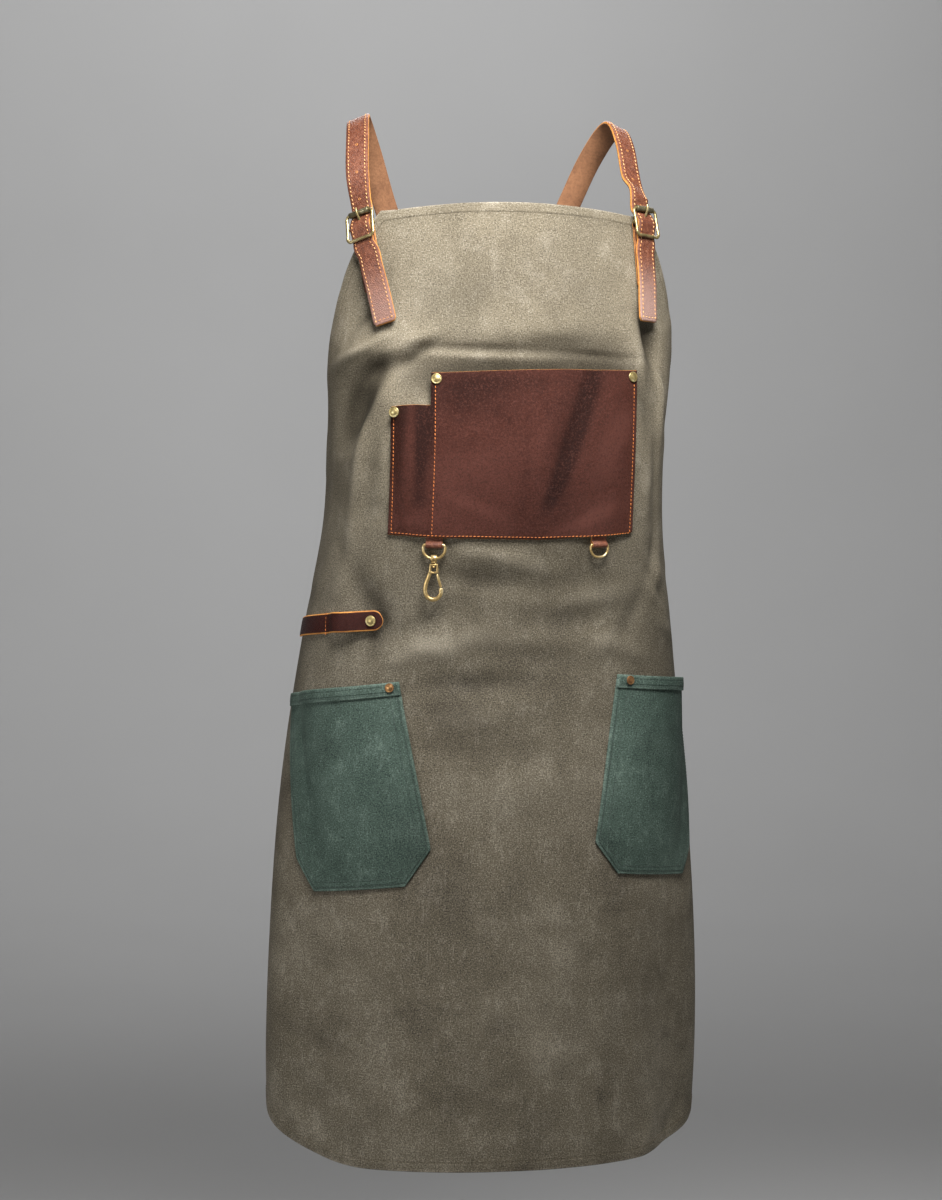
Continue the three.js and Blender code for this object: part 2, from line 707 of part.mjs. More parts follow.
    const swing = new THREE.Group();
    swing.position.set(GATE_TOP.x, 0, GATE_TOP.z);
    body.add(swing);
    const reach = Math.hypot(GATE_FOOT.x - GATE_TOP.x, GATE_FOOT.z - GATE_TOP.z);
    const bar = new THREE.CapsuleGeometry(GATE_WIRE, reach, 2, 8);
    bar.translate(0, -reach / 2, 0);
    bar.rotateX(Math.PI / 2);
    const gate = mesh("hook_gate", bar, "gold", swing);
    gate.rotation.y = Math.atan2(-(GATE_FOOT.x - GATE_TOP.x), -(GATE_FOOT.z - GATE_TOP.z));
  }
}

// Tool loop

mesh(
  "tool_loop",
  ribbonGeometry(
    LOOP_STRIP.map(({ s, z, lift, tall }) => ({
      at: cloth(s, z, SEAM + lift + LOOP_WALL / 2),
      out: formNormal(s, z),
      wide: LOOP_TALL * tall,
    })),
    LOOP_WALL,
    2,
  ),
  "darkLeather",
);
rivet("tool_loop_stud", LOOP_STUD.s, LOOP_STUD.z, SEAM + LOOP_WALL + 0.8, LOOP_STUD.radius, "brass");

// Hip pockets

function pocketPlace(pocket, across, down) {
  const split = 0.8;
  const from = down < split ? pocket.mouth : pocket.low;
  const to = down < split ? pocket.low : pocket.foot;
  const t = down < split ? down / split : (down - split) / (1 - split);
  const mix = (k) =>
    THREE.MathUtils.lerp(
      THREE.MathUtils.lerp(from.inner[k], from.outer[k], across),
      THREE.MathUtils.lerp(to.inner[k], to.outer[k], across),
      t,
    );
  return { s: mix(0), z: mix(1) };
}

function pocketLift(across, down) {
  const part = Math.min(1, across / POCKET_FULL);
  const bow = Math.sin(part * Math.PI) ** 0.8 * Math.cos((down * Math.PI) / 2) ** 0.9;
  return SEAM + POCKET_BOW * bow;
}

for (const pocket of POCKETS) {
  mesh(
    `pocket_${pocket.side}`,
    wallGeometry(POCKET_ROWS, POCKET_COLUMNS, (i, j, side) => {
      const across = j / POCKET_COLUMNS;
      const down = i / POCKET_ROWS;
      const { s, z } = pocketPlace(pocket, across, down);
      return cloth(s, z, pocketLift(across, down) + (1 - side) * POCKET_WALL);
    }),
    "green",
  );
  const bandDown = (BAND_TALL / 150) * 0.8;
  mesh(
    `pocket_${pocket.side}_band`,
    wallGeometry(2, POCKET_COLUMNS, (i, j, side) => {
      const across = j / POCKET_COLUMNS;
      const down = (i / 2) * bandDown;
      const { s, z } = pocketPlace(pocket, across, down);
      const under = pocketLift(across, down) + POCKET_WALL + STEP_GAP;
      return cloth(s, z, under + (1 - side) * BAND_WALL);
    }),
    "green",
  );
  const [rivetS, rivetZ] = pocket.rivet;
  const mouth = pocket.mouth;
  const across = (rivetS - mouth.inner[0]) / (mouth.outer[0] - mouth.inner[0]);
  const face = pocketLift(across, 0.03) + POCKET_WALL + STEP_GAP + BAND_WALL;
  rivet(`pocket_${pocket.side}_rivet`, rivetS, rivetZ, face + 1.7, POCKET_RIVET_RADIUS, "brass");
}

// Straps and buckles: each buckle has a frame of its own at the bib's corner, with x across the
// strap, y up along it and z out from the canvas.

function buckleFrame(buckle) {
  const out = formNormal(buckle.s, buckle.z);
  const level = new THREE.Vector3(-out.y, out.x, 0).normalize();
  const steep = out.clone().cross(level);
  const lean = THREE.MathUtils.degToRad(buckle.lean);
  const up = steep.clone().multiplyScalar(Math.cos(lean)).addScaledVector(level, Math.sin(lean));
  const across = up.clone().cross(out);
  const basis = new THREE.Matrix4().makeBasis(across, up, out);
  basis.setPosition(cloth(buckle.s, buckle.z));
  const under = (distance, degrees, from = buckle) => {
    const turn = THREE.MathUtils.degToRad(degrees);
    return {
      s: from.s - distance * Math.sin(turn),
      z: from.z - distance * Math.cos(turn) * steep.z,
    };
  };
  return { basis, out, under };
}

for (const buckle of BUCKLES) {
  const { side, hand } = buckle;
  const { basis, out, under } = buckleFrame(buckle);
  const place = (x, up, n) => new THREE.Vector3(x, up, n).applyMatrix4(basis);

  const stations = [];
  const station = (at, face, wide = STRAP_WIDE) => stations.push({ at, out: face, wide });
  const leaves = under(TAIL_FROM, buckle.lean);
  for (const { down, lift } of STRAP_TAIL) {
    const { s, z } = under(down - TAIL_FROM, buckle.tailLean, leaves);
    station(cloth(s, z, lift), formNormal(s, z));
  }
  for (const row of STRAP_WEAVE) station(place(0, row.up, row.out), out.clone());
  for (const row of STRAP_ROUTE) {
    const x = buckle.shift * row.near - hand * row.x;
    station(
      new THREE.Vector3(x, row.y + row.clear * buckle.over, row.z),
      new THREE.Vector3(-hand * row.nx, row.ny, row.nz),
    );
  }
  for (const { s, z } of STRAP_END) {
    station(cloth(-hand * s, z, SEAM + STRAP_THICK / 2), formNormal(-hand * s, z));
  }
  const cutter = new THREE.BoxGeometry(2 * HOLE.half, HOLE.high - HOLE.low, 16);
  cutter.translate(0, (HOLE.high + HOLE.low) / 2, 8);
  cutter.applyMatrix4(basis);
  const strip = solidOf(ribbonGeometry(stations, STRAP_THICK, 2)).subtract(solidOf(cutter));
  mesh(`strap_${side}`, geometryOf(strip), "strapLeather");
  rivet(
    `strap_${side}_rivet`,
    -hand * STRAP_RIVET.s,
    STRAP_RIVET.z,
    SEAM + STRAP_THICK + 0.6,
    STRAP_RIVET.radius,
    "brass",
  );

  const tabEye = tubeGeometry(BAR + 0.35 + BUCKLE_TAB.leaf, BAR + 0.35, BUCKLE_TAB.half, 12);
  tabEye.rotateZ(Math.PI / 2);
  tabEye.translate(0, MIDDLE_BAR.up, MIDDLE_BAR.out);
  tabEye.applyMatrix4(basis);
  const leaf = [1.8, 10, 22, 40, BUCKLE_TAB.long].map((down) => {
    const { s, z } = under(down, buckle.tabLean);
    return { at: cloth(s, z, SEAM + BUCKLE_TAB.leaf), out: formNormal(s, z), wide: 2 * BUCKLE_TAB.half };
  });
  const slot = new THREE.BoxGeometry(2 * BUCKLE_TAB.slot, 10, 16);
  slot.translate(0, 1.4, 4);
  slot.applyMatrix4(basis);
  const barHole = new THREE.CylinderGeometry(BAR + 0.35, BAR + 0.35, 40, 12);
  barHole.rotateZ(Math.PI / 2);
  barHole.translate(0, MIDDLE_BAR.up, MIDDLE_BAR.out);
  barHole.applyMatrix4(basis);
  const tab = solidOf(tabEye)
    .add(solidOf(ribbonGeometry(leaf, 2 * BUCKLE_TAB.leaf, 1)))
    .subtract(solidOf(barHole))
    .subtract(solidOf(slot));
  mesh(`buckle_${side}_tab`, geometryOf(tab), "strapLeather");

  const metal = new THREE.Group();
  metal.position.setFromMatrixPosition(basis);
  metal.quaternion.setFromRotationMatrix(basis);
  apron.add(metal);
  const near = BUCKLE_HALF - BUCKLE_CORNER;
  const sideOut = (up) =>
    THREE.MathUtils.mapLinear(up, LOW_BAR.up, TOP_BAR.up, LOW_BAR.out, TOP_BAR.out);
  const corner = (x, up) => new THREE.Vector3(x, up, sideOut(up));
  const bend = [
    corner(-near, TOP_BAR.up),
    corner(-near * 0.7, TOP_BAR.up),
    corner(near * 0.7, TOP_BAR.up),
    corner(near, TOP_BAR.up),
    corner(BUCKLE_HALF, TOP_BAR.up - BUCKLE_CORNER),
    corner(BUCKLE_HALF, TOP_BAR.up * 0.4),
    corner(BUCKLE_HALF, LOW_BAR.up * 0.4),
    corner(BUCKLE_HALF, LOW_BAR.up + BUCKLE_CORNER),
    corner(near, LOW_BAR.up),
    corner(near * 0.7, LOW_BAR.up),
    corner(-near * 0.7, LOW_BAR.up),
    corner(-near, LOW_BAR.up),
    corner(-BUCKLE_HALF, LOW_BAR.up + BUCKLE_CORNER),
    corner(-BUCKLE_HALF, LOW_BAR.up * 0.4),
    corner(-BUCKLE_HALF, TOP_BAR.up * 0.4),
    corner(-BUCKLE_HALF, TOP_BAR.up - BUCKLE_CORNER),
  ];
  const dropped = MIDDLE_BEND.map(({ x, out: n }) => new THREE.Vector3(x, MIDDLE_BAR.up, n));
  const mirrored = dropped.map((p) => new THREE.Vector3(-p.x, p.y, p.z)).reverse();
  const middle = wireGeometry([...mirrored, ...dropped], BAR, 14, 6);
  const frame = solidOf(ringGeometry(bend, BAR, 28, 6)).add(solidOf(middle));
  mesh(`buckle_${side}_frame`, geometryOf(frame), "brass", metal);

  const roller = tubeGeometry(ROLLER.outer, ROLLER.inner, ROLLER.half, 10);
  roller.rotateZ(Math.PI / 2);
  const rolling = mesh(`buckle_${side}_roller`, roller, "steel", metal);
  rolling.position.set(0, TOP_BAR.up, TOP_BAR.out);

  const eye = tubeGeometry(PRONG_EYE.outer, PRONG_EYE.inner, PRONG_EYE.half, 10);
  eye.rotateZ(Math.PI / 2);
  eye.translate(0, MIDDLE_BAR.up, MIDDLE_BAR.out);
  const tongue = wireGeometry(
    PRONG.map(({ up, out: n }) => new THREE.Vector3(0, up, n)),
    PRONG_WIRE,
    8,
    6,
  );
  mesh(`buckle_${side}_prong`, geometryOf(solidOf(eye).add(solidOf(tongue))), "brass", metal);
}

export default apron;
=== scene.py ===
"""Waxed canvas work apron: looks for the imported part, in its frame (metres, +Z up, front to -Y).

Sizes below are millimetres. Cloth and what is sewn on it are laid out in pattern coordinates:
s runs along the horizontal section from the front centre line and z is height.
"""

import math

import bpy
import numpy as np
from mathutils import Matrix, Vector


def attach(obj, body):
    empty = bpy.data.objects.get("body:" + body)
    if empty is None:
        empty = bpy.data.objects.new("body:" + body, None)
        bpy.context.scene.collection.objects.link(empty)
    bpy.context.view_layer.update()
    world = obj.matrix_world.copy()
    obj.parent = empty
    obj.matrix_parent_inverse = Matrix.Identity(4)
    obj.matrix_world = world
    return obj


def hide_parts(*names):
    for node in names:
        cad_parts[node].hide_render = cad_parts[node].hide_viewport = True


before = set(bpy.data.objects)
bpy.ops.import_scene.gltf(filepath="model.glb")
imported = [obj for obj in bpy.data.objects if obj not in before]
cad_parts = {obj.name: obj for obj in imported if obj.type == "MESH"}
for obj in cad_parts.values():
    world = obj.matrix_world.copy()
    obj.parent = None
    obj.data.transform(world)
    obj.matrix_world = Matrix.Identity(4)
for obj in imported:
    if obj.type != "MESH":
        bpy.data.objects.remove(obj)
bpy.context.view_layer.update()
MM = 0.001
FLOOR = -1420
# Height of the pattern's zero line above the undersides of the straps
HANG = 7.5


def table(names, *rows):
    """The columns of a small table, by name."""
    return dict(zip(names.split(), np.array(rows, float).T))


# Sections of the worn form

FORM = table(
    "z front side back half flat shift",
    (-70, -96, -8, 70, 150, 2.3, 8),
    (-130, -108, -8, 80, 157, 2.4, 8),
    (-210, -126, -8, 85, 164, 2.5, 8),
    (-300, -140, -8, 85, 158, 2.6, 7),
    (-380, -137, -8, 85, 160, 2.5, 6),
    (-460, -126, -8, 85, 172, 2.4, 4),
    (-540, -131, -8, 90, 183, 2.3, 2),
    (-640, -142, -6, 100, 195, 2.25, 1),
    (-760, -150, -4, 110, 204, 2.2, 0),
    (-880, -153, -4, 110, 206, 2.2, -1),
    (-970, -154, -4, 110, 203, 2.2, -1),
)
CUT = table(
    "z half",
    (-80, 114),
    (-130, 156),
    (-200, 196),
    (-280, 232),
    (-380, 296),
    (-450, 336),
    (-480, 340),
    (-980, 340),
)
# Folds: centre, direction in degrees, half length, half width, rise
FOLDS = table(
    "s z turn long wide rise",
    (2, -217, 0, 80, 10, -4),
    (-140, -222, 18, 60, 13, 4),
    (-112, -236, 15, 34, 10, -3),
    (-152, -184, 35, 30, 14, -4),
    (146, -216, -60, 36, 11, -4),
    (126, -212, -65, 34, 13, 3),
    (155, -425, 65, 22, 10, 4),
    (166, -455, -42, 26, 10, 4),
    (40, -428, -24, 55, 26, -3),
    (-236, -880, 90, 180, 30, 6),
    (-292, -860, 90, 180, 26, -6),
    (-180, -900, 86, 140, 26, -3),
    (230, -880, 90, 180, 30, 6),
    (288, -860, 90, 180, 26, -6),
    (178, -905, 94, 140, 24, -4),
)
# Finer creases, too small for the solid
CREASES = table(
    "s z turn long wide rise",
    (-10, -246, 0, 92, 22, -13.0),
    (-30, -217, -1, 60, 3.4, -3.0),
    (74, -221, -4, 44, 3.2, -2.2),
    (-42, -224, 0, 56, 4, 2.0),
    (32, -211, 2, 34, 8, -2.8),
    (-66, -172, 0, 56, 46, -4.0),
    (66, -180, 0, 44, 40, -1.6),
    (78, -242, 0, 44, 34, -8.0),
    (-97, -224, 30, 20, 4.6, -5.0),
    (-101, -214, 24, 24, 5, 3.2),
    (-156, -224, 22, 34, 6, 4.6),
    (-136, -236, 30, 18, 7, -5.0),
    (-163, -274, 52, 38, 18, -14.0),
    (-131, -264, 58, 30, 8, 4.0),
    (-155, -312, 82, 34, 7, 3.0),
    (-162, -360, 86, 40, 8, 2.0),
    (-142, -345, 84, 50, 9, -2.0),
    (-122, -310, 80, 40, 9, 1.2),
    (-150, -192, 40, 26, 7, -3.4),
    (-128, -158, 62, 28, 7, -2.0),
    (138, -212, -62, 26, 10, -9.5),
    (124, -232, -66, 26, 6, 3.0),
    (152, -240, -64, 30, 6, 3.2),
    (160, -268, -84, 36, 6, 2.4),
    (136, -268, -84, 34, 12, -4.0),
    (152, -330, -88, 60, 7, -1.8),
    (136, -352, 86, 44, 8, 1.8),
    (158, -441, -48, 26, 5, -3.0),
    (172, -474, -30, 24, 6, 2.6),
    (150, -405, 78, 22, 5, -2.4),
    (-10, -408, -14, 44, 9, 2.6),
    (-22, -430, -8, 40, 10, -3.4),
    (-130, -452, -50, 34, 14, -6.0),
    (-126, -488, 76, 26, 11, -4.0),
    (-166, -425, 70, 34, 9, 2.0),
    (-52, -484, 16, 34, 14, 3.8),
    (-78, -466, 30, 26, 8, -2.4),
    (48, -466, -10, 40, 12, -3.2),
    (78, -444, 8, 40, 11, 2.6),
    (-28, -522, 2, 62, 10, -3.6),
    (-36, -552, 8, 50, 14, 2.0),
    (40, -500, -14, 40, 12, -2.6),
    (100, -486, -20, 40, 10, 2.4),
    (124, -458, 62, 30, 9, -2.0),
    (-100, -500, 40, 30, 10, 2.4),
    (-20, -586, -6, 60, 14, -1.8),
    (40, -612, 14, 60, 16, 1.4),
    (-60, -790, 84, 120, 16, -1.1),
    (-24, -800, 92, 120, 14, 1.0),
    (38, -820, 92, 130, 18, 1.0),
    (70, -840, 88, 120, 14, -1.0),
    (112, -860, 88, 110, 14, -1.2),
    (-128, -930, 80, 60, 12, 0.9),
    (150, -946, 70, 30, 10, 2.0),
    (190, -940, 60, 26, 9, -2.0),
    (-205, -925, 110, 30, 9, 1.4),
)


def smooth(columns, name, z):
    """A column's value at heights z, on a smooth curve through the rows."""
    at, values = columns["z"][::-1], columns[name][::-1]
    step, slope = np.diff(at), np.diff(values) / np.diff(at)
    tangent = np.concatenate([slope[:1], np.zeros(len(at) - 2), slope[-1:]])
    tangent[1:-1] = (slope[:-1] * step[1:] + slope[1:] * step[:-1]) / (at[2:] - at[:-2])
    z = np.clip(z, at[0], at[-1])
    i = np.clip(np.searchsorted(at, z, side="right") - 1, 0, len(at) - 2)
    h = step[i]
    t = (z - at[i]) / h
    return (
        (1 + 2 * t) * (1 - t) ** 2 * values[i]
        + t * (1 - t) ** 2 * h * tangent[i]
        + t * t * (3 - 2 * t) * values[i + 1]
        + t * t * (t - 1) * h * tangent[i + 1]
    )


AROUND = np.linspace(0, math.radians(165), 141)


def form_point(s, z):
    """Points of the unfolded form at pattern places s, z."""
    row = {k: smooth(FORM, k, z)[:, None] for k in FORM if k != "z"}
    power = 2 / row["flat"]
    c = np.cos(AROUND)[None]
    bent = np.abs(c) ** power
    x = row["half"] * np.sin(AROUND)[None] ** power
    y = row["side"] + np.where(c > 0, row["front"] - row["side"], row["back"]) * bent
    spans = np.hypot(np.diff(x, axis=1), np.diff(y, axis=1))
    length = np.concatenate([np.zeros((len(s), 1)), np.cumsum(spans, axis=1)], axis=1)
    wanted = np.abs(s)
    i = np.clip((length <= wanted[:, None]).sum(1) - 1, 0, len(AROUND) - 2)
    n = np.arange(len(s))
    t = (wanted - length[n, i]) / spans[n, i]
    px = x[n, i] + t * (x[n, i + 1] - x[n, i])
    py = y[n, i] + t * (y[n, i + 1] - y[n, i])
    return np.stack([row["shift"][:, 0] + np.sign(s) * px, py, z + HANG], 1)


def unit(v):
    return v / np.maximum(np.linalg.norm(v, axis=-1, keepdims=True), 1e-9)


def form_normal(s, z):
    along = form_point(s + 2, z) - form_point(s - 2, z)
    up = form_point(s, z + 3) - form_point(s, z - 3)
    return unit(np.cross(along, up))


def fold_rise(s, z, folds):
    rise = np.zeros_like(s)
    for fs, fz, turn, long, wide, height in zip(*folds.values()):
        c, d = math.cos(math.radians(turn)), math.sin(math.radians(turn))
        along = ((s - fs) * c + (z - fz) * d) / long
        across = ((z - fz) * c - (s - fs) * d) / wide
        rise += height * np.exp(-along * along - across * across)
    return rise


def cloth_frame(s, z):
    """Points on the canvas's outer face, and the directions in which it looks."""
    s, z = np.broadcast_arrays(np.asarray(s, float), np.asarray(z, float))
    flat_s, flat_z = s.ravel(), z.ravel()
    normal = form_normal(flat_s, flat_z)
    at = form_point(flat_s, flat_z) + normal * fold_rise(flat_s, flat_z, FOLDS)[:, None]
    return at.reshape(s.shape + (3,)), normal.reshape(s.shape + (3,))


def spot(s, z):
    """The point at one pattern place on the cloth, and its direction."""
    return (v[0] for v in cloth_frame([s], [z]))


def ease(low, high, x):
    t = np.clip((x - low) / (high - low), 0, 1)
    return t * t * (3 - 2 * t)


# Meshes


def linked(made):
    bpy.context.collection.objects.link(made)
    return made


def mesh_of(name, points, faces=(), edges=()):
    """A smooth mesh of points in millimetres."""
    mesh = bpy.data.meshes.new(name)
    mesh.from_pydata((np.asarray(points) * MM).tolist(), edges, [tuple(f) for f in faces])
    mesh.polygons.foreach_set("use_smooth", np.ones(len(mesh.polygons), bool))
    return mesh


def piece(name, shape, materials, node=(), body="apron", fields=None, uv=None):
    """A finished piece from points in millimetres, faces, and each face's material."""
    points, faces, marks = shape
    mesh = mesh_of(name, points, faces)
    for material in materials:
        mesh.materials.append(material)
    if len(materials) > 1:
        mesh.polygons.foreach_set("material_index", np.asarray(marks, np.int32))
    corner = np.empty(len(mesh.loops), np.int32)
    mesh.loops.foreach_get("vertex_index", corner)
    if uv is not None:
        layer = mesh.uv_layers.new(name="pattern")
        layer.data.foreach_set("uv", (np.asarray(uv)[corner] * MM).astype(np.float32).ravel())
    for key, values in (fields or {}).items():
        field = mesh.attributes.new(key, "FLOAT", "POINT")
        field.data.foreach_set("value", np.asarray(values, np.float32))
    mesh.update()
    made = linked(bpy.data.objects.new(name, mesh))
    dress(made, node, body)
    return made


def dress(made, node=(), body="apron"):
    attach(made, body)
    if node:
        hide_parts(*node)


def wall(outer, inner, round_by):
    """Closed wall between two grids of points, with a rounded rim. Returns its shape, with marks
    1 on the rim and 2 on the inner face, and the grid place of each point."""
    rows, cols = outer.shape[:2]
    grid = np.arange(rows * cols).reshape(rows, cols)
    corners = [grid[:-1, :-1], grid[1:, :-1], grid[1:, 1:], grid[:-1, 1:]]
    quads = np.stack(corners, -1).reshape(-1, 4)
    loop = np.concatenate([grid[0, :-1], grid[:-1, -1], grid[-1, :0:-1], grid[:0:-1, 0]])
    step = np.concatenate([grid[1, :-1], grid[:-1, -2], grid[-2, :0:-1], grid[:0:-1, 1]])
    step[0], step[cols - 1] = grid[1, 1], grid[1, -2]
    step[cols + rows - 2], step[2 * cols + rows - 3] = grid[-2, -2], grid[-2, 1]
    out, inn = outer.reshape(-1, 3), inner.reshape(-1, 3)
    middle = (out[loop] + inn[loop]) / 2
    rim = middle + unit(middle - (out[step] + inn[step]) / 2) * round_by
    points = np.concatenate([out, inn, rim])
    count, turn = rows * cols, np.roll(np.arange(len(loop)), -1)
    edge = 2 * count + np.arange(len(loop))
    first = np.stack([loop, edge, edge[turn], loop[turn]], 1)
    second = np.stack([edge, loop + count, loop[turn] + count, edge[turn]], 1)
    faces = np.concatenate([quads, quads[:, ::-1] + count, first[:, ::-1], second[:, ::-1]])
    marks = np.repeat([0, 2, 1, 1], [len(quads), len(quads), len(loop), len(loop)])
    places = np.concatenate([grid.ravel(), grid.ravel(), loop])
    return (points, outward(points, faces), marks), places


def outward(points, faces):
    """The faces, turned together so that the closed shape's volume is positive."""
    volume = 0.0
    for k in range(1, faces.shape[1] - 1):
        a, b, c = points[faces[:, 0]], points[faces[:, k]], points[faces[:, k + 1]]
        volume += float((a * np.cross(b, c)).sum())
    return faces if volume > 0 else faces[:, ::-1]


def curve(knots, per_span, closed=False):
    """Smooth points through knots, and through the columns that go with them."""
    knots = np.asarray(knots, float)
    n = len(knots)
    if closed:
        around = [knots[(i + k) % n] for i in range(n) for k in (-1, 0, 1, 2)]
    else:
        ext = np.concatenate([[2 * knots[0] - knots[1]], knots, [2 * knots[-1] - knots[-2]]])
        around = [ext[i + k] for i in range(n - 1) for k in range(4)]
    spans = np.array(around).reshape(-1, 4, knots.shape[1])
    t = np.linspace(0, 1, per_span, endpoint=False)[None, :, None]
    gaps = [np.linalg.norm(spans[:, k + 1, :3] - spans[:, k, :3], axis=1) ** 0.5 for k in range(3)]
    d0, d1, d2 = (np.maximum(g, 1e-4)[:, None, None] for g in gaps)
    p0, p1, p2, p3 = (spans[:, k][:, None] for k in range(4))
    m1 = ((p1 - p0) / d0 - (p2 - p0) / (d0 + d1) + (p2 - p1) / d1) * d1
    m2 = ((p2 - p1) / d1 - (p3 - p1) / (d1 + d2) + (p3 - p2) / d2) * d1
    cubic = (
        (2 * t**3 - 3 * t**2 + 1) * p1
        + (t**3 - 2 * t**2 + t) * m1
        + (3 * t**2 - 2 * t**3) * p2
        + (t**3 - t**2) * m2
    ).reshape(-1, knots.shape[1])
    return cubic if closed else np.concatenate([cubic, knots[-1:]])


def frames(at, out, closed=False):
    """Along, across and out directions of a path."""
    if closed:
        along = unit(np.roll(at, -1, 0) - np.roll(at, 1, 0))
    else:
        along = unit(np.gradient(at, axis=0))
    out = unit(out - along * (out * along).sum(1, keepdims=True))
    return along, np.cross(along, out), out


def sweep(at, across, out, section, wide=None, closed=False, edges=()):
    """A section of points (across, out) moved along a path. edges gives each section face's mark,
    and the end caps take mark 1."""
    section = np.asarray(section, float)
    wide = np.ones(len(at)) if wide is None else wide
    points = (
        at[:, None]
        + across[:, None] * (section[None, :, :1] * wide[:, None, None])
        + out[:, None] * section[None, :, 1:]
    ).reshape(-1, 3)
    k, m = len(at), len(section)
    rows = np.arange(k if closed else k - 1)
    i, j = np.meshgrid(rows, np.arange(m), indexing="ij")
    n, r = (j + 1) % m, (i + 1) % k
    quads = np.stack([i * m + j, i * m + n, r * m + n, r * m + j], -1).reshape(-1, 4)
    marks = np.tile(np.asarray(edges if len(edges) else np.zeros(m), int), len(rows))
    faces = outward_open(points, quads, m, k)
    if not closed:
        flip = 1 if faces is quads else -1
        caps = [list(range(m))[::-flip], list(range((k - 1) * m, k * m))[::flip]]
        faces = [*faces.tolist(), *caps]
        marks = np.concatenate([marks, [1, 1]])
    return points, faces, marks


def outward_open(points, quads, m, k):
    """The quads of a sweep of k sections with m points each, turned outwards."""
    centre = points.reshape(k, m, 3).mean(1)
    middle = points[quads].mean(1)
    inside = centre[np.repeat(np.arange(len(quads) // m), m)]
    a, b, d = points[quads[:, 0]], points[quads[:, 1]], points[quads[:, 3]]
    normal = np.cross(b - a, d - a)
    return quads if ((middle - inside) * normal).sum() > 0 else quads[:, ::-1]


def join(*shapes):
    """Several (points, faces, marks) as one."""
    points, faces, marks, count = [], [], [], 0
    for p, f, m in shapes:
        points.append(np.asarray(p))
        faces += [tuple(int(v) + count for v in face) for face in f]
        marks.append(np.asarray(m, int))
        count += len(p)
    return np.concatenate(points), faces, np.concatenate(marks)


# Points on a lathe's axis stay a hair off it, so that every face is whole
AXIS_GAP = 0.004
# Turns a lathe's axis to the first direction of a frame
SIDEWAYS = np.array([[0, 0, 1], [1, 0, 0], [0, 1, 0]], float)


def lathe(profile, steps, turn=np.eye(3), at=(0, 0, 0), mark=0):
    """A profile of (radius, height) turned about the third column of turn."""
    profile = np.array(profile, float)
    angle = np.linspace(0, 2 * math.pi, steps, endpoint=False)
    r, h = np.maximum(profile[:, 0], AXIS_GAP), profile[:, 1]
    ring = np.stack([np.cos(angle), np.sin(angle)], 1)
    local = np.concatenate(
        [r[:, None, None] * ring[None], np.broadcast_to(h[:, None, None], (len(r), steps, 1))], -1
    )
    points = local.reshape(-1, 3)
    i, j = np.meshgrid(np.arange(len(r) - 1), np.arange(steps), indexing="ij")
    n = (j + 1) % steps
    faces = np.stack([i * steps + j, i * steps + n, (i + 1) * steps + n, (i + 1) * steps + j], -1)
    faces = outward(points, faces.reshape(-1, 4))
    return points @ np.asarray(turn).T + np.asarray(at), faces.tolist(), np.full(len(faces), mark)


def rod(knots, per_span, facing, section, closed=False, taper=None):
    """A section moved along a smooth path through knots, with one side facing one way."""
    path = curve(knots, per_span, closed)
    _, across, out = frames(path, np.tile(np.array(facing, float), (len(path), 1)), closed)
    wide = None if taper is None else np.linspace(*taper, len(path))
    return sweep(path, across, out, section, wide, closed)


def placed(shape, axes, at, down=0.0):
    """A shape from a frame of its own, moved down in it and put where the frame is."""
    points, faces, marks = shape
    return (points + [0, 0, down]) @ axes + at, faces, marks


def round_section(radius, sides=14, flat=1.0):
    angle = np.linspace(0, 2 * math.pi, sides, endpoint=False)
    return np.stack([radius * np.cos(angle), radius * flat * np.sin(angle)], 1)


# Node trees

# 1 / e, for a bell curve
BELL_BASE = 0.3679


class Link:
    """An output socket; arithmetic on it adds Math nodes."""

    def __init__(self, nodes, socket):
        self.nodes, self.socket = nodes, socket

    def output(self, key):
        """Another output of the same node."""
        return Link(self.nodes, self.socket.node.outputs[key])

    def math(self, operation, *values, clamp=False):
        sockets = dict(enumerate(values))
        return self.nodes.add("ShaderNodeMath", sockets, operation=operation, use_clamp=clamp)

    def __add__(self, other):
        return self.math("ADD", self, other)

    def __sub__(self, other):
        return self.math("SUBTRACT", self, other)

    def __rsub__(self, other):
        return self.math("SUBTRACT", other, self)

    def __mul__(self, other):
        return self.math("MULTIPLY", self, other)

    def __truediv__(self, other):
        return self.math("DIVIDE", self, other)

    __radd__, __rmul__ = __add__, __mul__

    def sin(self):
        return self.math("SINE", self)

    def size(self):
        return self.math("ABSOLUTE", self)

    def clamped(self):
        return self.math("ADD", self, 0.0, clamp=True)

    def over(self, low, high):
        """0 under low, 1 over high, eased between."""
        sockets = {0: self, 1: low, 2: high}
        return self.nodes.add("ShaderNodeMapRange", sockets, interpolation_type="SMOOTHSTEP")

    def bell(self, middle, width):
        """1 where the value is middle, falling to 0 over about width."""
        away = (self - middle) / width
        return self.math("POWER", BELL_BASE, away * away)


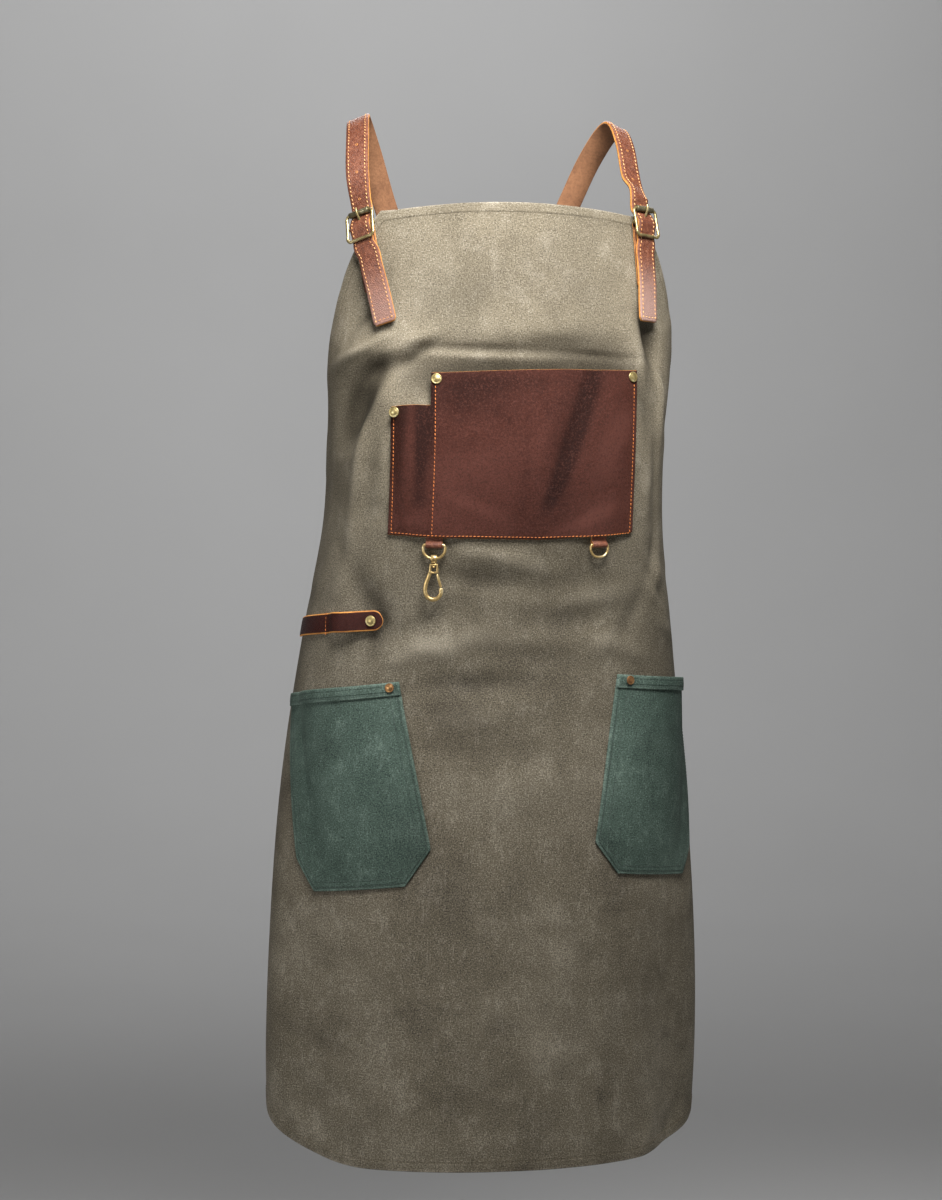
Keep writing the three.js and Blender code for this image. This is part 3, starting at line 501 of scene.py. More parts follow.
class Nodes:
    """Adds nodes to a tree."""

    def __init__(self, tree):
        self.tree = tree

    def add(self, kind, sockets=None, out=0, **settings):
        node = self.tree.nodes.new(kind)
        for key, value in settings.items():
            setattr(node, key, value)
        for key, value in (sockets or {}).items():
            if isinstance(value, Link):
                self.tree.links.new(value.socket, node.inputs[key])
            else:
                node.inputs[key].default_value = value
        return Link(self, node.outputs[out]) if len(node.outputs) else None

    def mix(self, factor, a, b, blend="MIX"):
        """Colour b over colour a."""
        sockets = {0: factor, 6: a, 7: b}
        return self.add("ShaderNodeMix", sockets, 2, data_type="RGBA", blend_type=blend)

    def darken(self, factor, a, tint):
        """Colour a multiplied by a tint."""
        return self.mix(factor, a, tint, "MULTIPLY")

    def noise(self, vector, scale, detail=3.0, rough=0.55):
        sockets = {"Vector": vector, "Scale": scale, "Detail": detail, "Roughness": rough}
        return self.add("ShaderNodeTexNoise", sockets)

    def streaks(self, vector, scale, detail, rough=0.55):
        """Noise with a scale of its own along each axis."""
        stretched = self.add("ShaderNodeVectorMath", {0: vector, 1: scale}, operation="MULTIPLY")
        return self.noise(stretched, 1.0, detail, rough)

    def cells(self, vector, scale):
        sockets = {"Vector": vector, "Scale": scale}
        return self.add("ShaderNodeTexVoronoi", sockets, feature="DISTANCE_TO_EDGE")

    def field(self, name):
        return self.add("ShaderNodeAttribute", out=2, attribute_name=name)


def rgb(red, green, blue):
    """A colour given as on a screen, 0 to 255."""
    def linear(c):
        c /= 255
        return c / 12.92 if c <= 0.04045 else ((c + 0.055) / 1.055) ** 2.4

    return (linear(red), linear(green), linear(blue), 1.0)


def finish_of(name):
    """A new material, its nodes and the object's coordinates."""
    material = bpy.data.materials.new(name)
    material.use_nodes = True
    material.node_tree.nodes.clear()
    nodes = Nodes(material.node_tree)
    return material, nodes, nodes.add("ShaderNodeTexCoord", out=3)


def shade(material, nodes, colour, rough, relief=None, depth=0.0005, **constants):
    """The surface shader: what varies is linked, what doesn't is set on its own socket."""
    sockets = {"Base Color": colour, "Roughness": rough}
    sockets.update({key.replace("_", " "): value for key, value in constants.items()})
    if relief is not None:
        bump = {"Height": relief, "Distance": depth, "Strength": 1.0}
        sockets["Normal"] = nodes.add("ShaderNodeBump", bump)
    surface = nodes.add("ShaderNodeBsdfPrincipled", sockets)
    nodes.add("ShaderNodeOutputMaterial", {"Surface": surface})
    return material


# Half the weave's repeat, in metres
WEAVE_PITCH = 0.0006


def waxed_canvas(name, deep, base, worn_and_highlight, hem, soil_and_shade):
    """Plain-woven waxed cloth: paler with wear in clouds and along its edges, sewn at hem metres
    from them, with painted shade darkening it from the waist down for the light's falloff, by a
    given share, and with painted highlight on fold crests and painted shade in fold valleys."""
    material, nodes, place = finish_of(name)
    pattern = nodes.add("ShaderNodeTexCoord", out=2)
    u = nodes.add("ShaderNodeSeparateXYZ", {0: pattern})
    warp, weft = ((w * (math.pi / WEAVE_PITCH)).sin() for w in (u, u.output(1)))
    weave = warp * weft * 0.5 + 0.5
    slub = nodes.streaks(pattern, (1300, 260, 1), 2.0)
    thread = slub * 0.5 + nodes.streaks(pattern, (260, 1300, 1), 2.0) * 0.5
    speck = nodes.noise(pattern, 760.0, 3.0, 0.75)
    cloud = nodes.noise(place, 7.0, 5.0, 0.6)
    patch = nodes.noise(place, 34.0, 6.0, 0.68)
    streak = nodes.streaks(place, (60, 60, 9), 4.0, 0.6)
    scuff = nodes.streaks(place, (190, 190, 60), 4.0, 0.7)
    blotch = nodes.noise(place, 18.0, 6.0, 0.7)
    vein = nodes.streaks(place, (64, 64, 24), 5.0, 0.62) - 0.5
    vein = (1 - vein.size().over(0.0, 0.035)) * patch.over(0.4, 0.6)
    height = nodes.add("ShaderNodeSeparateXYZ", {0: place}).output(2)
    low = height.over(-0.3, -0.6) * 0.7 + 0.3
    edge = nodes.field("edge")
    rubbed_edge = (1 - edge.over(0.0002, 0.0026)) * patch.over(0.3, 0.62)
    rub_and_sheen = (
        cloud.over(0.44, 0.74) * 0.26
        + patch.over(0.5, 0.76) * 0.34
        + streak.over(0.58, 0.8) * 0.22
        + scuff.over(0.6, 0.78) * 0.26
        + speck.over(0.5, 0.7) * 0.9
        + (blotch.over(0.5, 0.74) * 0.24 + vein * 0.34) * low
        + rubbed_edge * 0.5
    ).clamped()
    # The hem's stitch groove: darkened in colour as painted shade, and dented by the bump
    sunk = edge.bell(hem, 0.0006)
    shadow = (
        cloud.over(0.56, 0.24) * 0.4
        + patch.over(0.46, 0.2) * 0.3
        + thread.over(0.5, 0.3) * 0.7
        + speck.over(0.5, 0.3) * 0.75
        + blotch.over(0.5, 0.26) * low * 0.34
        + sunk * 0.25
    ).clamped()
    colour = nodes.mix(shadow, nodes.mix(rub_and_sheen, base, worn_and_highlight), deep)
    colour = nodes.mix((1 - weave) * 0.25, colour, deep)
    # Painted shade: darker from the waist down for the light's falloff over the lower apron, with a
    # little speckle
    painted_falloff_shade = height.over(-0.22, -0.5) * (0.8 + speck.over(0.6, 0.4) * 0.36)
    colour = nodes.darken(painted_falloff_shade * soil_and_shade, colour, (0.23, 0.225, 0.21, 1))
    # Painted light on the folds: painted highlight on their crests in the paler colour, painted
    # shade in their valleys
    fold = nodes.field("painted_light")
    colour = nodes.mix(fold.over(0.0, 1.0) * 0.3, colour, worn_and_highlight)
    colour = nodes.darken(fold.over(0.0, -1.3) * 0.86, colour, (0.17, 0.155, 0.125, 1))
    rough = 0.82 - rub_and_sheen * 0.14 + shadow * 0.06
    pucker = nodes.streaks(pattern, (150, 150, 1), 2.0) * edge.bell(hem, 0.005)
    relief = weave * 0.2 + thread * 0.35 + speck * 0.35 + patch * 0.4 + pucker * 0.9 - sunk * 0.4
    return shade(material, nodes, colour, rough, relief, 0.0006, Specular_IOR_Level=0.3)


def leather(name, deep, base, pale, rub_and_sheen_colour, grain, rough, gloss):
    """Waxy full-grain leather with clouds of pull-up, fine cells and scratches, painted highlight
    and shade where a field asks for them, and of another colour towards the strap tails' tips:
    partly wear, partly painted sheen."""
    material, nodes, place = finish_of(name)
    cloud = nodes.noise(place, 14.0, 4.0, 0.6)
    patch = nodes.noise(place, 62.0, 5.0, 0.65)
    scratch = nodes.streaks(place, (30, 30, 420), 2.0, 0.5)
    cell = nodes.cells(place, grain)
    fine = nodes.cells(place, grain * 2.3)
    pull = (cloud.over(0.45, 0.75) * 0.5 + patch.over(0.5, 0.8) * 0.4).clamped()
    dark = (cloud.over(0.5, 0.25) * 0.5 + patch.over(0.46, 0.25) * 0.35).clamped()
    colour = nodes.mix(dark, nodes.mix(pull * 0.6, base, pale), deep)
    colour = nodes.mix((1 - cell.over(0.0, 0.12)) * 0.35, colour, deep)
    # Painted highlight where the field is over 0, painted shade where it is under 0
    painted_light = nodes.field("painted_light")
    colour = nodes.mix(painted_light.over(0.0, 1.0) * 0.75, colour, pale)
    colour = nodes.mix(painted_light.over(0.0, -1.0) * 0.85, colour, deep)
    # Fine speckle, paler and darker: partly the grain's own tone, partly painted glints of its sheen
    speck = nodes.noise(place, grain * 0.6, 2.0, 0.7)
    colour = nodes.mix(speck.over(0.5, 0.7) * 0.5, colour, pale)
    colour = nodes.mix(speck.over(0.5, 0.3) * 0.45, colour, deep)
    # Paler where the field is set, towards the strap tails' tips: painted sheen, partly wear as well
    colour = nodes.mix(nodes.field("rub_and_sheen"), colour, rub_and_sheen_colour)
    relief = cell.over(0.0, 0.25) * 0.5 + fine.over(0.0, 0.3) * 0.22 + scratch * 0.16 + patch * 0.5
    rough = rough + patch * 0.14 - pull * 0.06
    return shade(material, nodes, colour, rough, relief, 0.00045, Specular_IOR_Level=gloss)


def raw_edge(name, base, deep):
    """Cut leather edge: open, fibrous and pale."""
    material, nodes, place = finish_of(name)
    fibre = nodes.noise(place, 420.0, 4.0, 0.7)
    cloud = nodes.noise(place, 45.0, 3.0)
    dark = (fibre.over(0.62, 0.3) * 0.5 + cloud.over(0.6, 0.3) * 0.4).clamped()
    colour = nodes.mix(dark, base, deep)
    return shade(material, nodes, colour, 0.72 + fibre * 0.15, fibre, 0.0004)


def thread(name, base, deep):
    material, nodes, place = finish_of(name)
    twist = nodes.noise(place, 900.0, 2.0)
    soil_and_shade = nodes.noise(place, 60.0, 3.0)
    dark = (twist.over(0.6, 0.35) * 0.5 + soil_and_shade.over(0.6, 0.35) * 0.5).clamped()
    colour = nodes.mix(dark, base, deep)
    return shade(material, nodes, colour, 0.6 + twist * 0.2, twist, 0.0003)


def old_metal(name, bright, base, tarnish, rough):
    """Plated metal: bright where use has polished it, dull and dark in clouds."""
    material, nodes, place = finish_of(name)
    cloud = nodes.noise(place, 160.0, 4.0, 0.65)
    speck = nodes.noise(place, 700.0, 3.0, 0.6)
    stain = (cloud.over(0.5, 0.74) * 0.75 + speck.over(0.56, 0.8) * 0.35).clamped()
    shine = cloud.over(0.5, 0.28)
    colour = nodes.mix(stain, nodes.mix(shine, base, bright), tarnish)
    relief = speck * 0.6 + cloud * 0.4
    return shade(material, nodes, colour, rough + stain * 0.24, relief, 0.00012, Metallic=0.72)


OLIVE = rgb(64, 57, 46), rgb(121, 112, 93), rgb(178, 169, 151)
CANVAS = waxed_canvas("olive_waxed_canvas", *OLIVE, 0.0085, 0.6)
DEEP_GREEN = rgb(22, 33, 28), rgb(57, 74, 65), rgb(104, 122, 111)
GREEN = waxed_canvas("green_waxed_canvas", *DEEP_GREEN, 0.0033, 0.0)
BROWN = rgb(33, 12, 6), rgb(74, 39, 30), rgb(95, 56, 47), rgb(95, 56, 47)
DARK_LEATHER = leather("dark_pull_up_leather", *BROWN, 950.0, 0.44, 0.14)
OXBLOOD = rgb(24, 7, 5), rgb(48, 15, 10), rgb(76, 32, 22), rgb(76, 32, 22)
LOOP_LEATHER = leather("dark_loop_leather", *OXBLOOD, 950.0, 0.46, 0.2)
# Last colour: the pale of the strap tails' tips, a painted sheen, partly wear as well
TAN = rgb(66, 30, 18), rgb(104, 56, 35), rgb(146, 94, 68), rgb(176, 148, 138)
STRAP_LEATHER = leather("grained_strap_leather", *TAN, 520.0, 0.46, 0.5)
RAW_EDGE = raw_edge("cut_leather_edge", rgb(204, 140, 66), rgb(146, 86, 38))
FLESH_SIDE = raw_edge("suede_flesh_side", rgb(146, 102, 70), rgb(104, 68, 44))
PALE_THREAD = thread("pale_waxed_thread", rgb(230, 184, 126), rgb(190, 120, 64))
ORANGE_THREAD = thread("orange_waxed_thread", rgb(214, 128, 62), rgb(150, 78, 34))
CANVAS_THREAD = thread("olive_thread", rgb(112, 102, 82), rgb(72, 63, 48))
GREEN_THREAD = thread("green_thread", rgb(62, 76, 68), rgb(34, 44, 39))
BRASS = old_metal("antique_brass", rgb(214, 202, 154), rgb(166, 148, 98), rgb(92, 82, 52), 0.36)
COPPER = old_metal("copper_brass", rgb(176, 136, 88), rgb(126, 90, 56), rgb(66, 46, 30), 0.42)
GOLD = old_metal("gold_brass", rgb(232, 212, 162), rgb(190, 162, 108), rgb(112, 90, 52), 0.34)
BUCKLE = old_metal("pale_buckle_metal", rgb(212, 196, 150), rgb(158, 142, 98), rgb(86, 76, 48), 0.3)
ROLLER = old_metal(
    "dark_roller_metal", rgb(168, 160, 130), rgb(116, 108, 82), rgb(60, 55, 40), 0.38
)


# Camera at the photograph's angle, floor, backdrop and lights

# Degrees, and metres from the origin
CAMERA_YAW, CAMERA_PITCH, CAMERA_ROLL = -10, 4.2, 0.8
CAMERA_AWAY, CAMERA_LEFT, CAMERA_HEIGHT = 2.6, 0.0114, -0.2565


def camera():
    yaw, pitch, roll = map(math.radians, (CAMERA_YAW, CAMERA_PITCH, CAMERA_ROLL))
    right = Vector((math.cos(yaw), math.sin(yaw), 0))
    level = Vector((-math.sin(yaw), math.cos(yaw), 0))
    ahead = level * math.cos(pitch) - Vector((0, 0, math.sin(pitch)))
    up = right.cross(ahead)
    leaned = right * math.cos(roll) + up * math.sin(roll)
    up = up * math.cos(roll) - right * math.sin(roll)
    data = bpy.data.cameras.new("front_camera")
    data.lens, data.sensor_width = 82.0, 36.0
    made = linked(bpy.data.objects.new("front_camera", data))
    place = -level * CAMERA_AWAY - right * CAMERA_LEFT + Vector((0, 0, CAMERA_HEIGHT))
    basis = Matrix((leaned, up, -ahead)).transposed().to_4x4()
    made.matrix_world = Matrix.Translation(place) @ basis
    bpy.context.scene.camera = made


WALL_AWAY, WALL_TOP, WALL_FILLET = 5000, 4200, 1600


def backdrop():
    """A round floor that curves up into a plain wall."""
    centre = WALL_AWAY - WALL_FILLET, FLOOR + WALL_FILLET
    turn = np.linspace(0, math.pi / 2, 18)
    fillet = [
        (centre[0] + WALL_FILLET * math.sin(a), centre[1] - WALL_FILLET * math.cos(a)) for a in turn
    ]
    profile = [(0, FLOOR), (1200, FLOOR), (2400, FLOOR), *fillet]
    profile += [(WALL_AWAY, 2600), (WALL_AWAY, WALL_TOP)]
    points, faces, _ = lathe(profile, 96)
    mesh = mesh_of("floor", points, [f[::-1] for f in faces])
    material, nodes, place = finish_of("pale_floor")
    tone = nodes.mix(nodes.noise(place, 1.5, 2.0), rgb(196, 196, 196), rgb(204, 204, 204))
    mesh.materials.append(shade(material, nodes, tone, 0.9))
    made = linked(bpy.data.objects.new("floor", mesh))


def light(name, place, target, size, watts, spread=180):
    data = bpy.data.lights.new(name, "AREA")
    data.shape, data.size, data.energy = "DISK", size, watts
    data.spread = math.radians(spread)
    made = linked(bpy.data.objects.new(name, data))
    made.location = place
    made.rotation_euler = (Vector(target) - Vector(place)).to_track_quat("-Z", "Y").to_euler()
    return data


def lights():
    light("key_light", (0.0, -0.72, 0.5), (0.0, -0.1, -0.1), 0.6, 30).color = (1, 0.99, 0.98)
    light("left_fill", (-2.2, -1.2, -0.5), (0, 0, -0.75), 1.2, 2.0, 40)
    light("right_fill", (2.2, -1.0, -0.6), (0, 0, -0.9), 1.2, 0.7, 40)
    light("back_fill", (0.4, 2.0, 1.2), (0, 0, -0.4), 1.4, 11, 80)
    light("wall_light", (0.3, 2.2, 2.0), (0.3, 5.0, 0.3), 1.6, 38, 140)
    bpy.context.scene.view_settings.view_transform = "Standard"
    world = bpy.data.worlds.new("soft_room")
    bpy.context.scene.world = world
    world.use_nodes = True
    shader = world.node_tree.nodes["Background"]
    shader.inputs["Color"].default_value = (1, 1, 1, 1)
    shader.inputs["Strength"].default_value = 0.05


# Stitches


def node_group(name, result, **inputs):
    """A geometry tree with named inputs; returns it, its nodes and the inputs' links."""
    tree = bpy.data.node_groups.new(name, "GeometryNodeTree")
    for key, kind in inputs.items():
        tree.interface.new_socket(key, in_out="INPUT", socket_type="NodeSocket" + kind)
    tree.interface.new_socket(result, in_out="OUTPUT", socket_type="NodeSocketGeometry")
    nodes = Nodes(tree)
    first = nodes.add("NodeGroupInput")
    return tree, nodes, [first.output(k) for k in range(len(inputs))]


def carried(nodes, name, kind):
    """A value that the points of a line carry."""
    return nodes.add("GeometryNodeInputNamedAttribute", {"Name": name}, data_type=kind)


def finished(nodes, result, shape, material):
    """The end of a tree: copies made real, in their material."""
    real = nodes.add("GeometryNodeRealizeInstances", {"Geometry": shape})
    smooth_faces = nodes.add("GeometryNodeSetShadeSmooth", {"Geometry": real})
    sockets = {"Geometry": smooth_faces, "Material": material}
    nodes.add("NodeGroupOutput", {result: nodes.add("GeometryNodeSetMaterial", sockets)})


def stitch_tree():
    """Short slanted stitches along a line of points that carry the direction of the face."""
    sizes = dict.fromkeys(("Pitch", "Length", "Width", "Height", "Slant"), "Float")
    tree, nodes, inputs = node_group(
        "stitch_row", "Stitches", Line="Geometry", **sizes, Thread="Material"
    )
    line, pitch, length, width, height, slant, material = inputs
    path = nodes.add("GeometryNodeMeshToCurve", {"Mesh": line})
    sockets = {"Curve": path, "Length": pitch}
    points = nodes.add("GeometryNodeCurveToPoints", sockets, mode="LENGTH")
    sockets = {
        "Primary Axis": points.output("Tangent"),
        "Secondary Axis": carried(nodes, "out", "FLOAT_VECTOR"),
    }
    turn = nodes.add(
        "FunctionNodeAxesToRotation", sockets, primary_axis="X", secondary_axis="Z"
    )
    bead = nodes.add("GeometryNodeMeshUVSphere", {"Segments": 8, "Rings": 5, "Radius": 0.5})
    size = nodes.add("ShaderNodeCombineXYZ", {0: length, 1: width, 2: height})
    lean = nodes.add("ShaderNodeCombineXYZ", {2: slant})
    sockets = {"Geometry": bead, "Scale": size, "Rotation": lean}
    stitch = nodes.add("GeometryNodeTransform", sockets)
    sockets = {0: (0.9, 0.85, 0.8), 1: (1.05, 1.1, 1.15), "Seed": 7}
    uneven = nodes.add("FunctionNodeRandomValue", sockets, data_type="FLOAT_VECTOR")
    sockets = {"Points": points, "Instance": stitch, "Rotation": turn, "Scale": uneven}
    finished(nodes, "Stitches", nodes.add("GeometryNodeInstanceOnPoints", sockets), material)
    return tree


def cap_tree():
    """Copies of a cap on points that carry its direction and size."""
    tree, nodes, (places, cap, metal) = node_group(
        "set_caps", "Caps", Places="Geometry", Cap="Object", Metal="Material"
    )
    shape = nodes.add("GeometryNodeObjectInfo", {"Object": cap}, "Geometry")
    out = carried(nodes, "out", "FLOAT_VECTOR")
    turn = nodes.add("FunctionNodeAlignRotationToVector", {"Vector": out}, axis="Z")
    size = carried(nodes, "size", "FLOAT")
    sockets = {"Points": places, "Instance": shape, "Rotation": turn, "Scale": size}
    finished(nodes, "Caps", nodes.add("GeometryNodeInstanceOnPoints", sockets), metal)
    return tree


def grown(name, tree, points, edges, fields, inputs):
    """The mesh that a tree makes on points, as a plain object."""
    mesh = mesh_of(name + "_line", points, edges=edges)
    for key, values in fields.items():
        values = np.asarray(values, np.float32)
        kind, slot = ("FLOAT", "value") if values.ndim == 1 else ("FLOAT_VECTOR", "vector")
        mesh.attributes.new(key, kind, "POINT").data.foreach_set(slot, values.ravel())
    base = linked(bpy.data.objects.new(name + "_line", mesh))
    modifier = base.modifiers.new(tree.name, "NODES")
    modifier.node_group = tree
    for item in tree.interface.items_tree:
        if item.in_out == "INPUT" and item.name in inputs:
            modifier[item.identifier] = inputs[item.name]
    bpy.context.view_layer.update()
    graph = bpy.context.evaluated_depsgraph_get()
    done = bpy.data.meshes.new_from_object(base.evaluated_get(graph))
    bpy.data.objects.remove(base)
    done.name = name
    return linked(bpy.data.objects.new(name, done))


LINE_STEP = 1.5
# Sizes in millimetres, slant in radians
HEM_STITCH = dict(pitch=3.1, length=2.5, width=0.7, height=0.5, slant=0.05)
CHEST_STITCH = dict(pitch=3.5, length=2.7, width=0.9, height=0.7, slant=0.16)
POCKET_STITCH = dict(pitch=3.0, length=2.4, width=0.7, height=0.5, slant=0.05)
STRAP_STITCH = dict(pitch=3.9, length=2.7, width=0.95, height=0.8, slant=0.2)
LOOP_STITCH = dict(pitch=3.2, length=2.6, width=1.0, height=0.8, slant=0.14)


def stitches(name, lines, material, slot, slant, **sizes):
    """Stitches along lines, each given as points and directions."""
    edges, count = [], 0
    for at, _ in lines:
        edges += [(count + k, count + k + 1) for k in range(len(at) - 1)]
        count += len(at)
    inputs = {key.title(): value * MM for key, value in sizes.items()}
    inputs.update(Slant=slant, Thread=material)
    points, out = (np.concatenate(v) for v in zip(*lines))
    dress(grown(name, STITCH_ROW, points, edges, {"out": out}, inputs))


def on_cloth(path, lift):
    """A line of pattern places, filled in, with points and directions on the cloth."""
    path = np.asarray(path, float)
    reach = np.concatenate([[0], np.cumsum(np.hypot(*np.diff(path, axis=0).T))])
    at = np.linspace(0, reach[-1], max(2, int(reach[-1] / LINE_STEP)))
    s, z = np.interp(at, reach, path[:, 0]), np.interp(at, reach, path[:, 1])
    points, normal = cloth_frame(s, z)
    high = lift(s, z) if callable(lift) else np.full(len(s), float(lift))
    return points + normal * high[:, None], normal


# Canvas panel

BIB_TOP, BIB_DROP = -85, 9
HEM, SKIRT_HALF = -966, 340
CORNER_FROM, CORNER_WIDE, CORNER_TALL = 120, 228, 190
CANVAS_WALL = 1.5
HEM_LINE = 8.5
PANEL_TALL, BIB_HALF = 880, 118
NEAR_EDGE = np.array([0, 0.7, 2.2, 5, 7.4, 8.5, 9.6, 11.5, 15])
# The stretch of the panel's height with the sharpest creases, rows above, in and below it, columns
CREASED = 0.135, 0.235
PANEL_ROWS, PANEL_COLUMNS = (33, 38, 170), 164
# A fold this high gets the full painted highlight, and one this deep the full painted shade
FOLD_TONE = 7


def hem_height(s):
    past = np.clip(np.abs(s) - CORNER_FROM, 0, SKIRT_HALF - CORNER_FROM) / CORNER_WIDE
    return HEM + CORNER_TALL * (1 - np.sqrt(1 - past * past))


def bib_height(a):
    return BIB_TOP - BIB_DROP * a * a


def side_stretch(z):
    """How much further the side edge runs than its height does, by its slope."""
    return np.hypot(1, (smooth(CUT, "half", z + 2) - smooth(CUT, "half", z - 2)) / 4)


def hem_stretch(s):
    """The same for the hem, by its slope at its rounded corners."""
    return np.hypot(1, (hem_height(np.abs(s) + 2) - hem_height(np.abs(s) - 2)) / 4)


def edge_distance(s, z):
    """How far a pattern place lies inside the cut edge, about."""
    side = (smooth(CUT, "half", z) - np.abs(s)) / side_stretch(z)
    foot = (z - hem_height(s)) / hem_stretch(s)
    top = bib_height(np.clip(s / BIB_HALF, -1, 1)) - z
    return np.minimum(np.minimum(side, foot), top)


# Where something is sewn on or hangs close to the canvas: left, right, foot, top
COVERED = [
    (-122, 118, -396, -234),
    (-92, -60, -452, -386),
    (64, 92, -412, -386),
    (-256, -114, -494, -454),
    (-246, -66, -722, -512),
    (78, 248, -714, -508),
    (-168, -122, -182, -98),
    (106, 150, -172, -92),
]


def covered(s, z):
    """1 under the pieces on the canvas, falling to 0 a little outside them."""
    most = np.zeros_like(s)
    for left, right, foot, top in COVERED:
        inside = np.minimum(np.minimum(s - left, right - s), np.minimum(z - foot, top - z))
        most = np.maximum(most, ease(-7, 0, inside))
    return most


def crumple(count):
    """Small soft folds all over the canvas, deepest about the waist."""
    pick = np.random.default_rng(11)
    z = pick.uniform(-960, -100, count)
    deep = 0.9 + 0.9 * np.exp(-(((z + 455) / 80) ** 2))
    return {
        "s": pick.uniform(-230, 230, count),
        "z": z,
        "turn": pick.uniform(-70, 70, count),
        "long": pick.uniform(16, 44, count),
        "wide": pick.uniform(5, 12, count),
        "rise": pick.uniform(-1, 1, count) * deep,
    }


CRUMPLE = crumple(190)


def canvas_fold(s, z):
    return fold_rise(s, z, CREASES) + fold_rise(s, z, CRUMPLE)


def canvas_rise(s, z):
    edge = edge_distance(s, z)
    hem = 0.5 * (1 - ease(8.8, 10.2, edge)) - 0.3 * np.exp(-(((edge - HEM_LINE) / 0.8) ** 2))
    fold = canvas_fold(s, z)
    return hem + np.where(fold > 0, fold * (1 - covered(s, z)), fold)


def canvas_panel():
    even = np.linspace(-1, 1, PANEL_COLUMNS)[1:-1]
    above = np.linspace(0, CREASED[0], PANEL_ROWS[0])[2:]
    creased = np.linspace(*CREASED, PANEL_ROWS[1])
    below = np.linspace(CREASED[1], 1, PANEL_ROWS[2])[:-2]
    rim = NEAR_EDGE / PANEL_TALL
    fall = np.unique(np.round(np.concatenate([rim, above, creased, below, 1 - rim[::-1]]), 6))
    columns = len(even) + 2 * len(NEAR_EDGE)
    kind = np.repeat([-1.0, 0.0, 1.0], [len(NEAR_EDGE), len(even), len(NEAR_EDGE)])
    inset = np.concatenate([NEAR_EDGE, even, NEAR_EDGE[::-1]])

    def across(half):
        middle = inset * (half - NEAR_EDGE[-1])
        return np.where(kind == 0, middle, kind * (half - inset))

    foot = across(np.full(columns, float(SKIRT_HALF)))
    bottom, a = hem_height(foot), foot / SKIRT_HALF
    z = bib_height(a)[None] + (bottom - bib_height(a))[None] * fall[:, None]
    half = smooth(CUT, "half", z.ravel()).reshape(z.shape)
    s = np.stack([across(row) for row in half])
    at, normal = cloth_frame(s, z)
    flat_s, flat_z = s.ravel(), z.ravel()
    rise = canvas_rise(flat_s, flat_z).reshape(s.shape)[..., None]
    shape, places = wall(at + normal * rise, at + normal * (rise - CANVAS_WALL), 0.35)
    edge = np.maximum(edge_distance(flat_s, flat_z), 0)[places] * MM
    # Fold height, which sets the painted highlight and shade on the canvas's folds
    painted_light = canvas_fold(flat_s, flat_z)[places] / FOLD_TONE
    made = piece(
        "apron_canvas",
        shape,
        [CANVAS],
        ["canvas_body"],
        fields={"edge": edge, "painted_light": painted_light},
        uv=np.stack([flat_s, flat_z], 1)[places],
    )


def canvas_hem():
    z = np.linspace(bib_height(1.0) - HEM_LINE, hem_height(np.array(SKIRT_HALF - HEM_LINE)), 160)
    side = smooth(CUT, "half", z) - HEM_LINE * side_stretch(z)
    foot_s = np.linspace(SKIRT_HALF - HEM_LINE, -(SKIRT_HALF - HEM_LINE), 160)
    foot_z = hem_height(foot_s) + HEM_LINE * hem_stretch(foot_s)
    keep = z > np.interp(side, foot_s[:80][::-1], foot_z[:80][::-1])
    side, z = side[keep], z[keep]
    top_s = np.linspace(-side[0], side[0], 40)
    top = np.stack([top_s, bib_height(top_s / BIB_HALF) - HEM_LINE], 1)
    foot = np.stack([foot_s, foot_z], 1)
    foot = foot[np.abs(foot_s) <= side[-1]]
    right, left = np.stack([side, z], 1), np.stack([-side[::-1], z[::-1]], 1)
    path = np.concatenate([top, right, foot, left])
    line = on_cloth(path, lambda s, z: canvas_rise(s, z) + 0.15)
    stitches("hem_stitches", [line], CANVAS_THREAD, "waxed_canvas", **HEM_STITCH)


# Leather chest pocket

SEAM = 0.7
CHEST_LEFT, CHEST_STEP, CHEST_SEAM, CHEST_RIGHT = -118, -81, -77, 114
CHEST_TOP, CHEST_TALL = -238, 151
CHEST_WALL, CHEST_BOW, CHEST_INSET = 1.8, 9, 3.4
CHEST_OUTLINE = table(
    "s top foot spans",
    (CHEST_LEFT, -272, -386.8, 14),
    (CHEST_STEP - 0.3, -270, -387.8, 1),
    (CHEST_STEP + 0.3, -241, -387.8, 40),
    (20, -238.5, -389.6, 38),
    (CHEST_RIGHT, -236, -383.4, 0),
)
RINGS = {"left": (-74.5, -395, 10, 12.2, 1.3), "right": (77.5, -394, 8.9, 11.2, 1.1)}
TAB_WIDE, TAB_WALL, TAB_TUCK, TAB_SEAT, RING_PLAY = 15, 1.3, 13, 0.5, 0.35
# How far a tab lifts the pocket over it, and how far beside it
TAB_RISE, TAB_FADE = 3.1, 14
CHEST_FOLDS = table(
    "s z turn long wide rise",
    (22, -298, 71, 62, 13, 2.4),
    (47, -300, 71, 62, 11, -3.8),
    (78, -300, 73, 50, 13, 2.6),
    (10, -342, 20, 50, 14, 1.2),
    (-36, -286, -16, 50, 18, -1.8),
    (-40, -326, 24, 44, 14, 1.6),
    (-97, -312, 88, 50, 5, 1.2),
    (-88, -312, 88, 50, 5, -1.4),
    (98, -262, 40, 26, 9, 1.2),
)
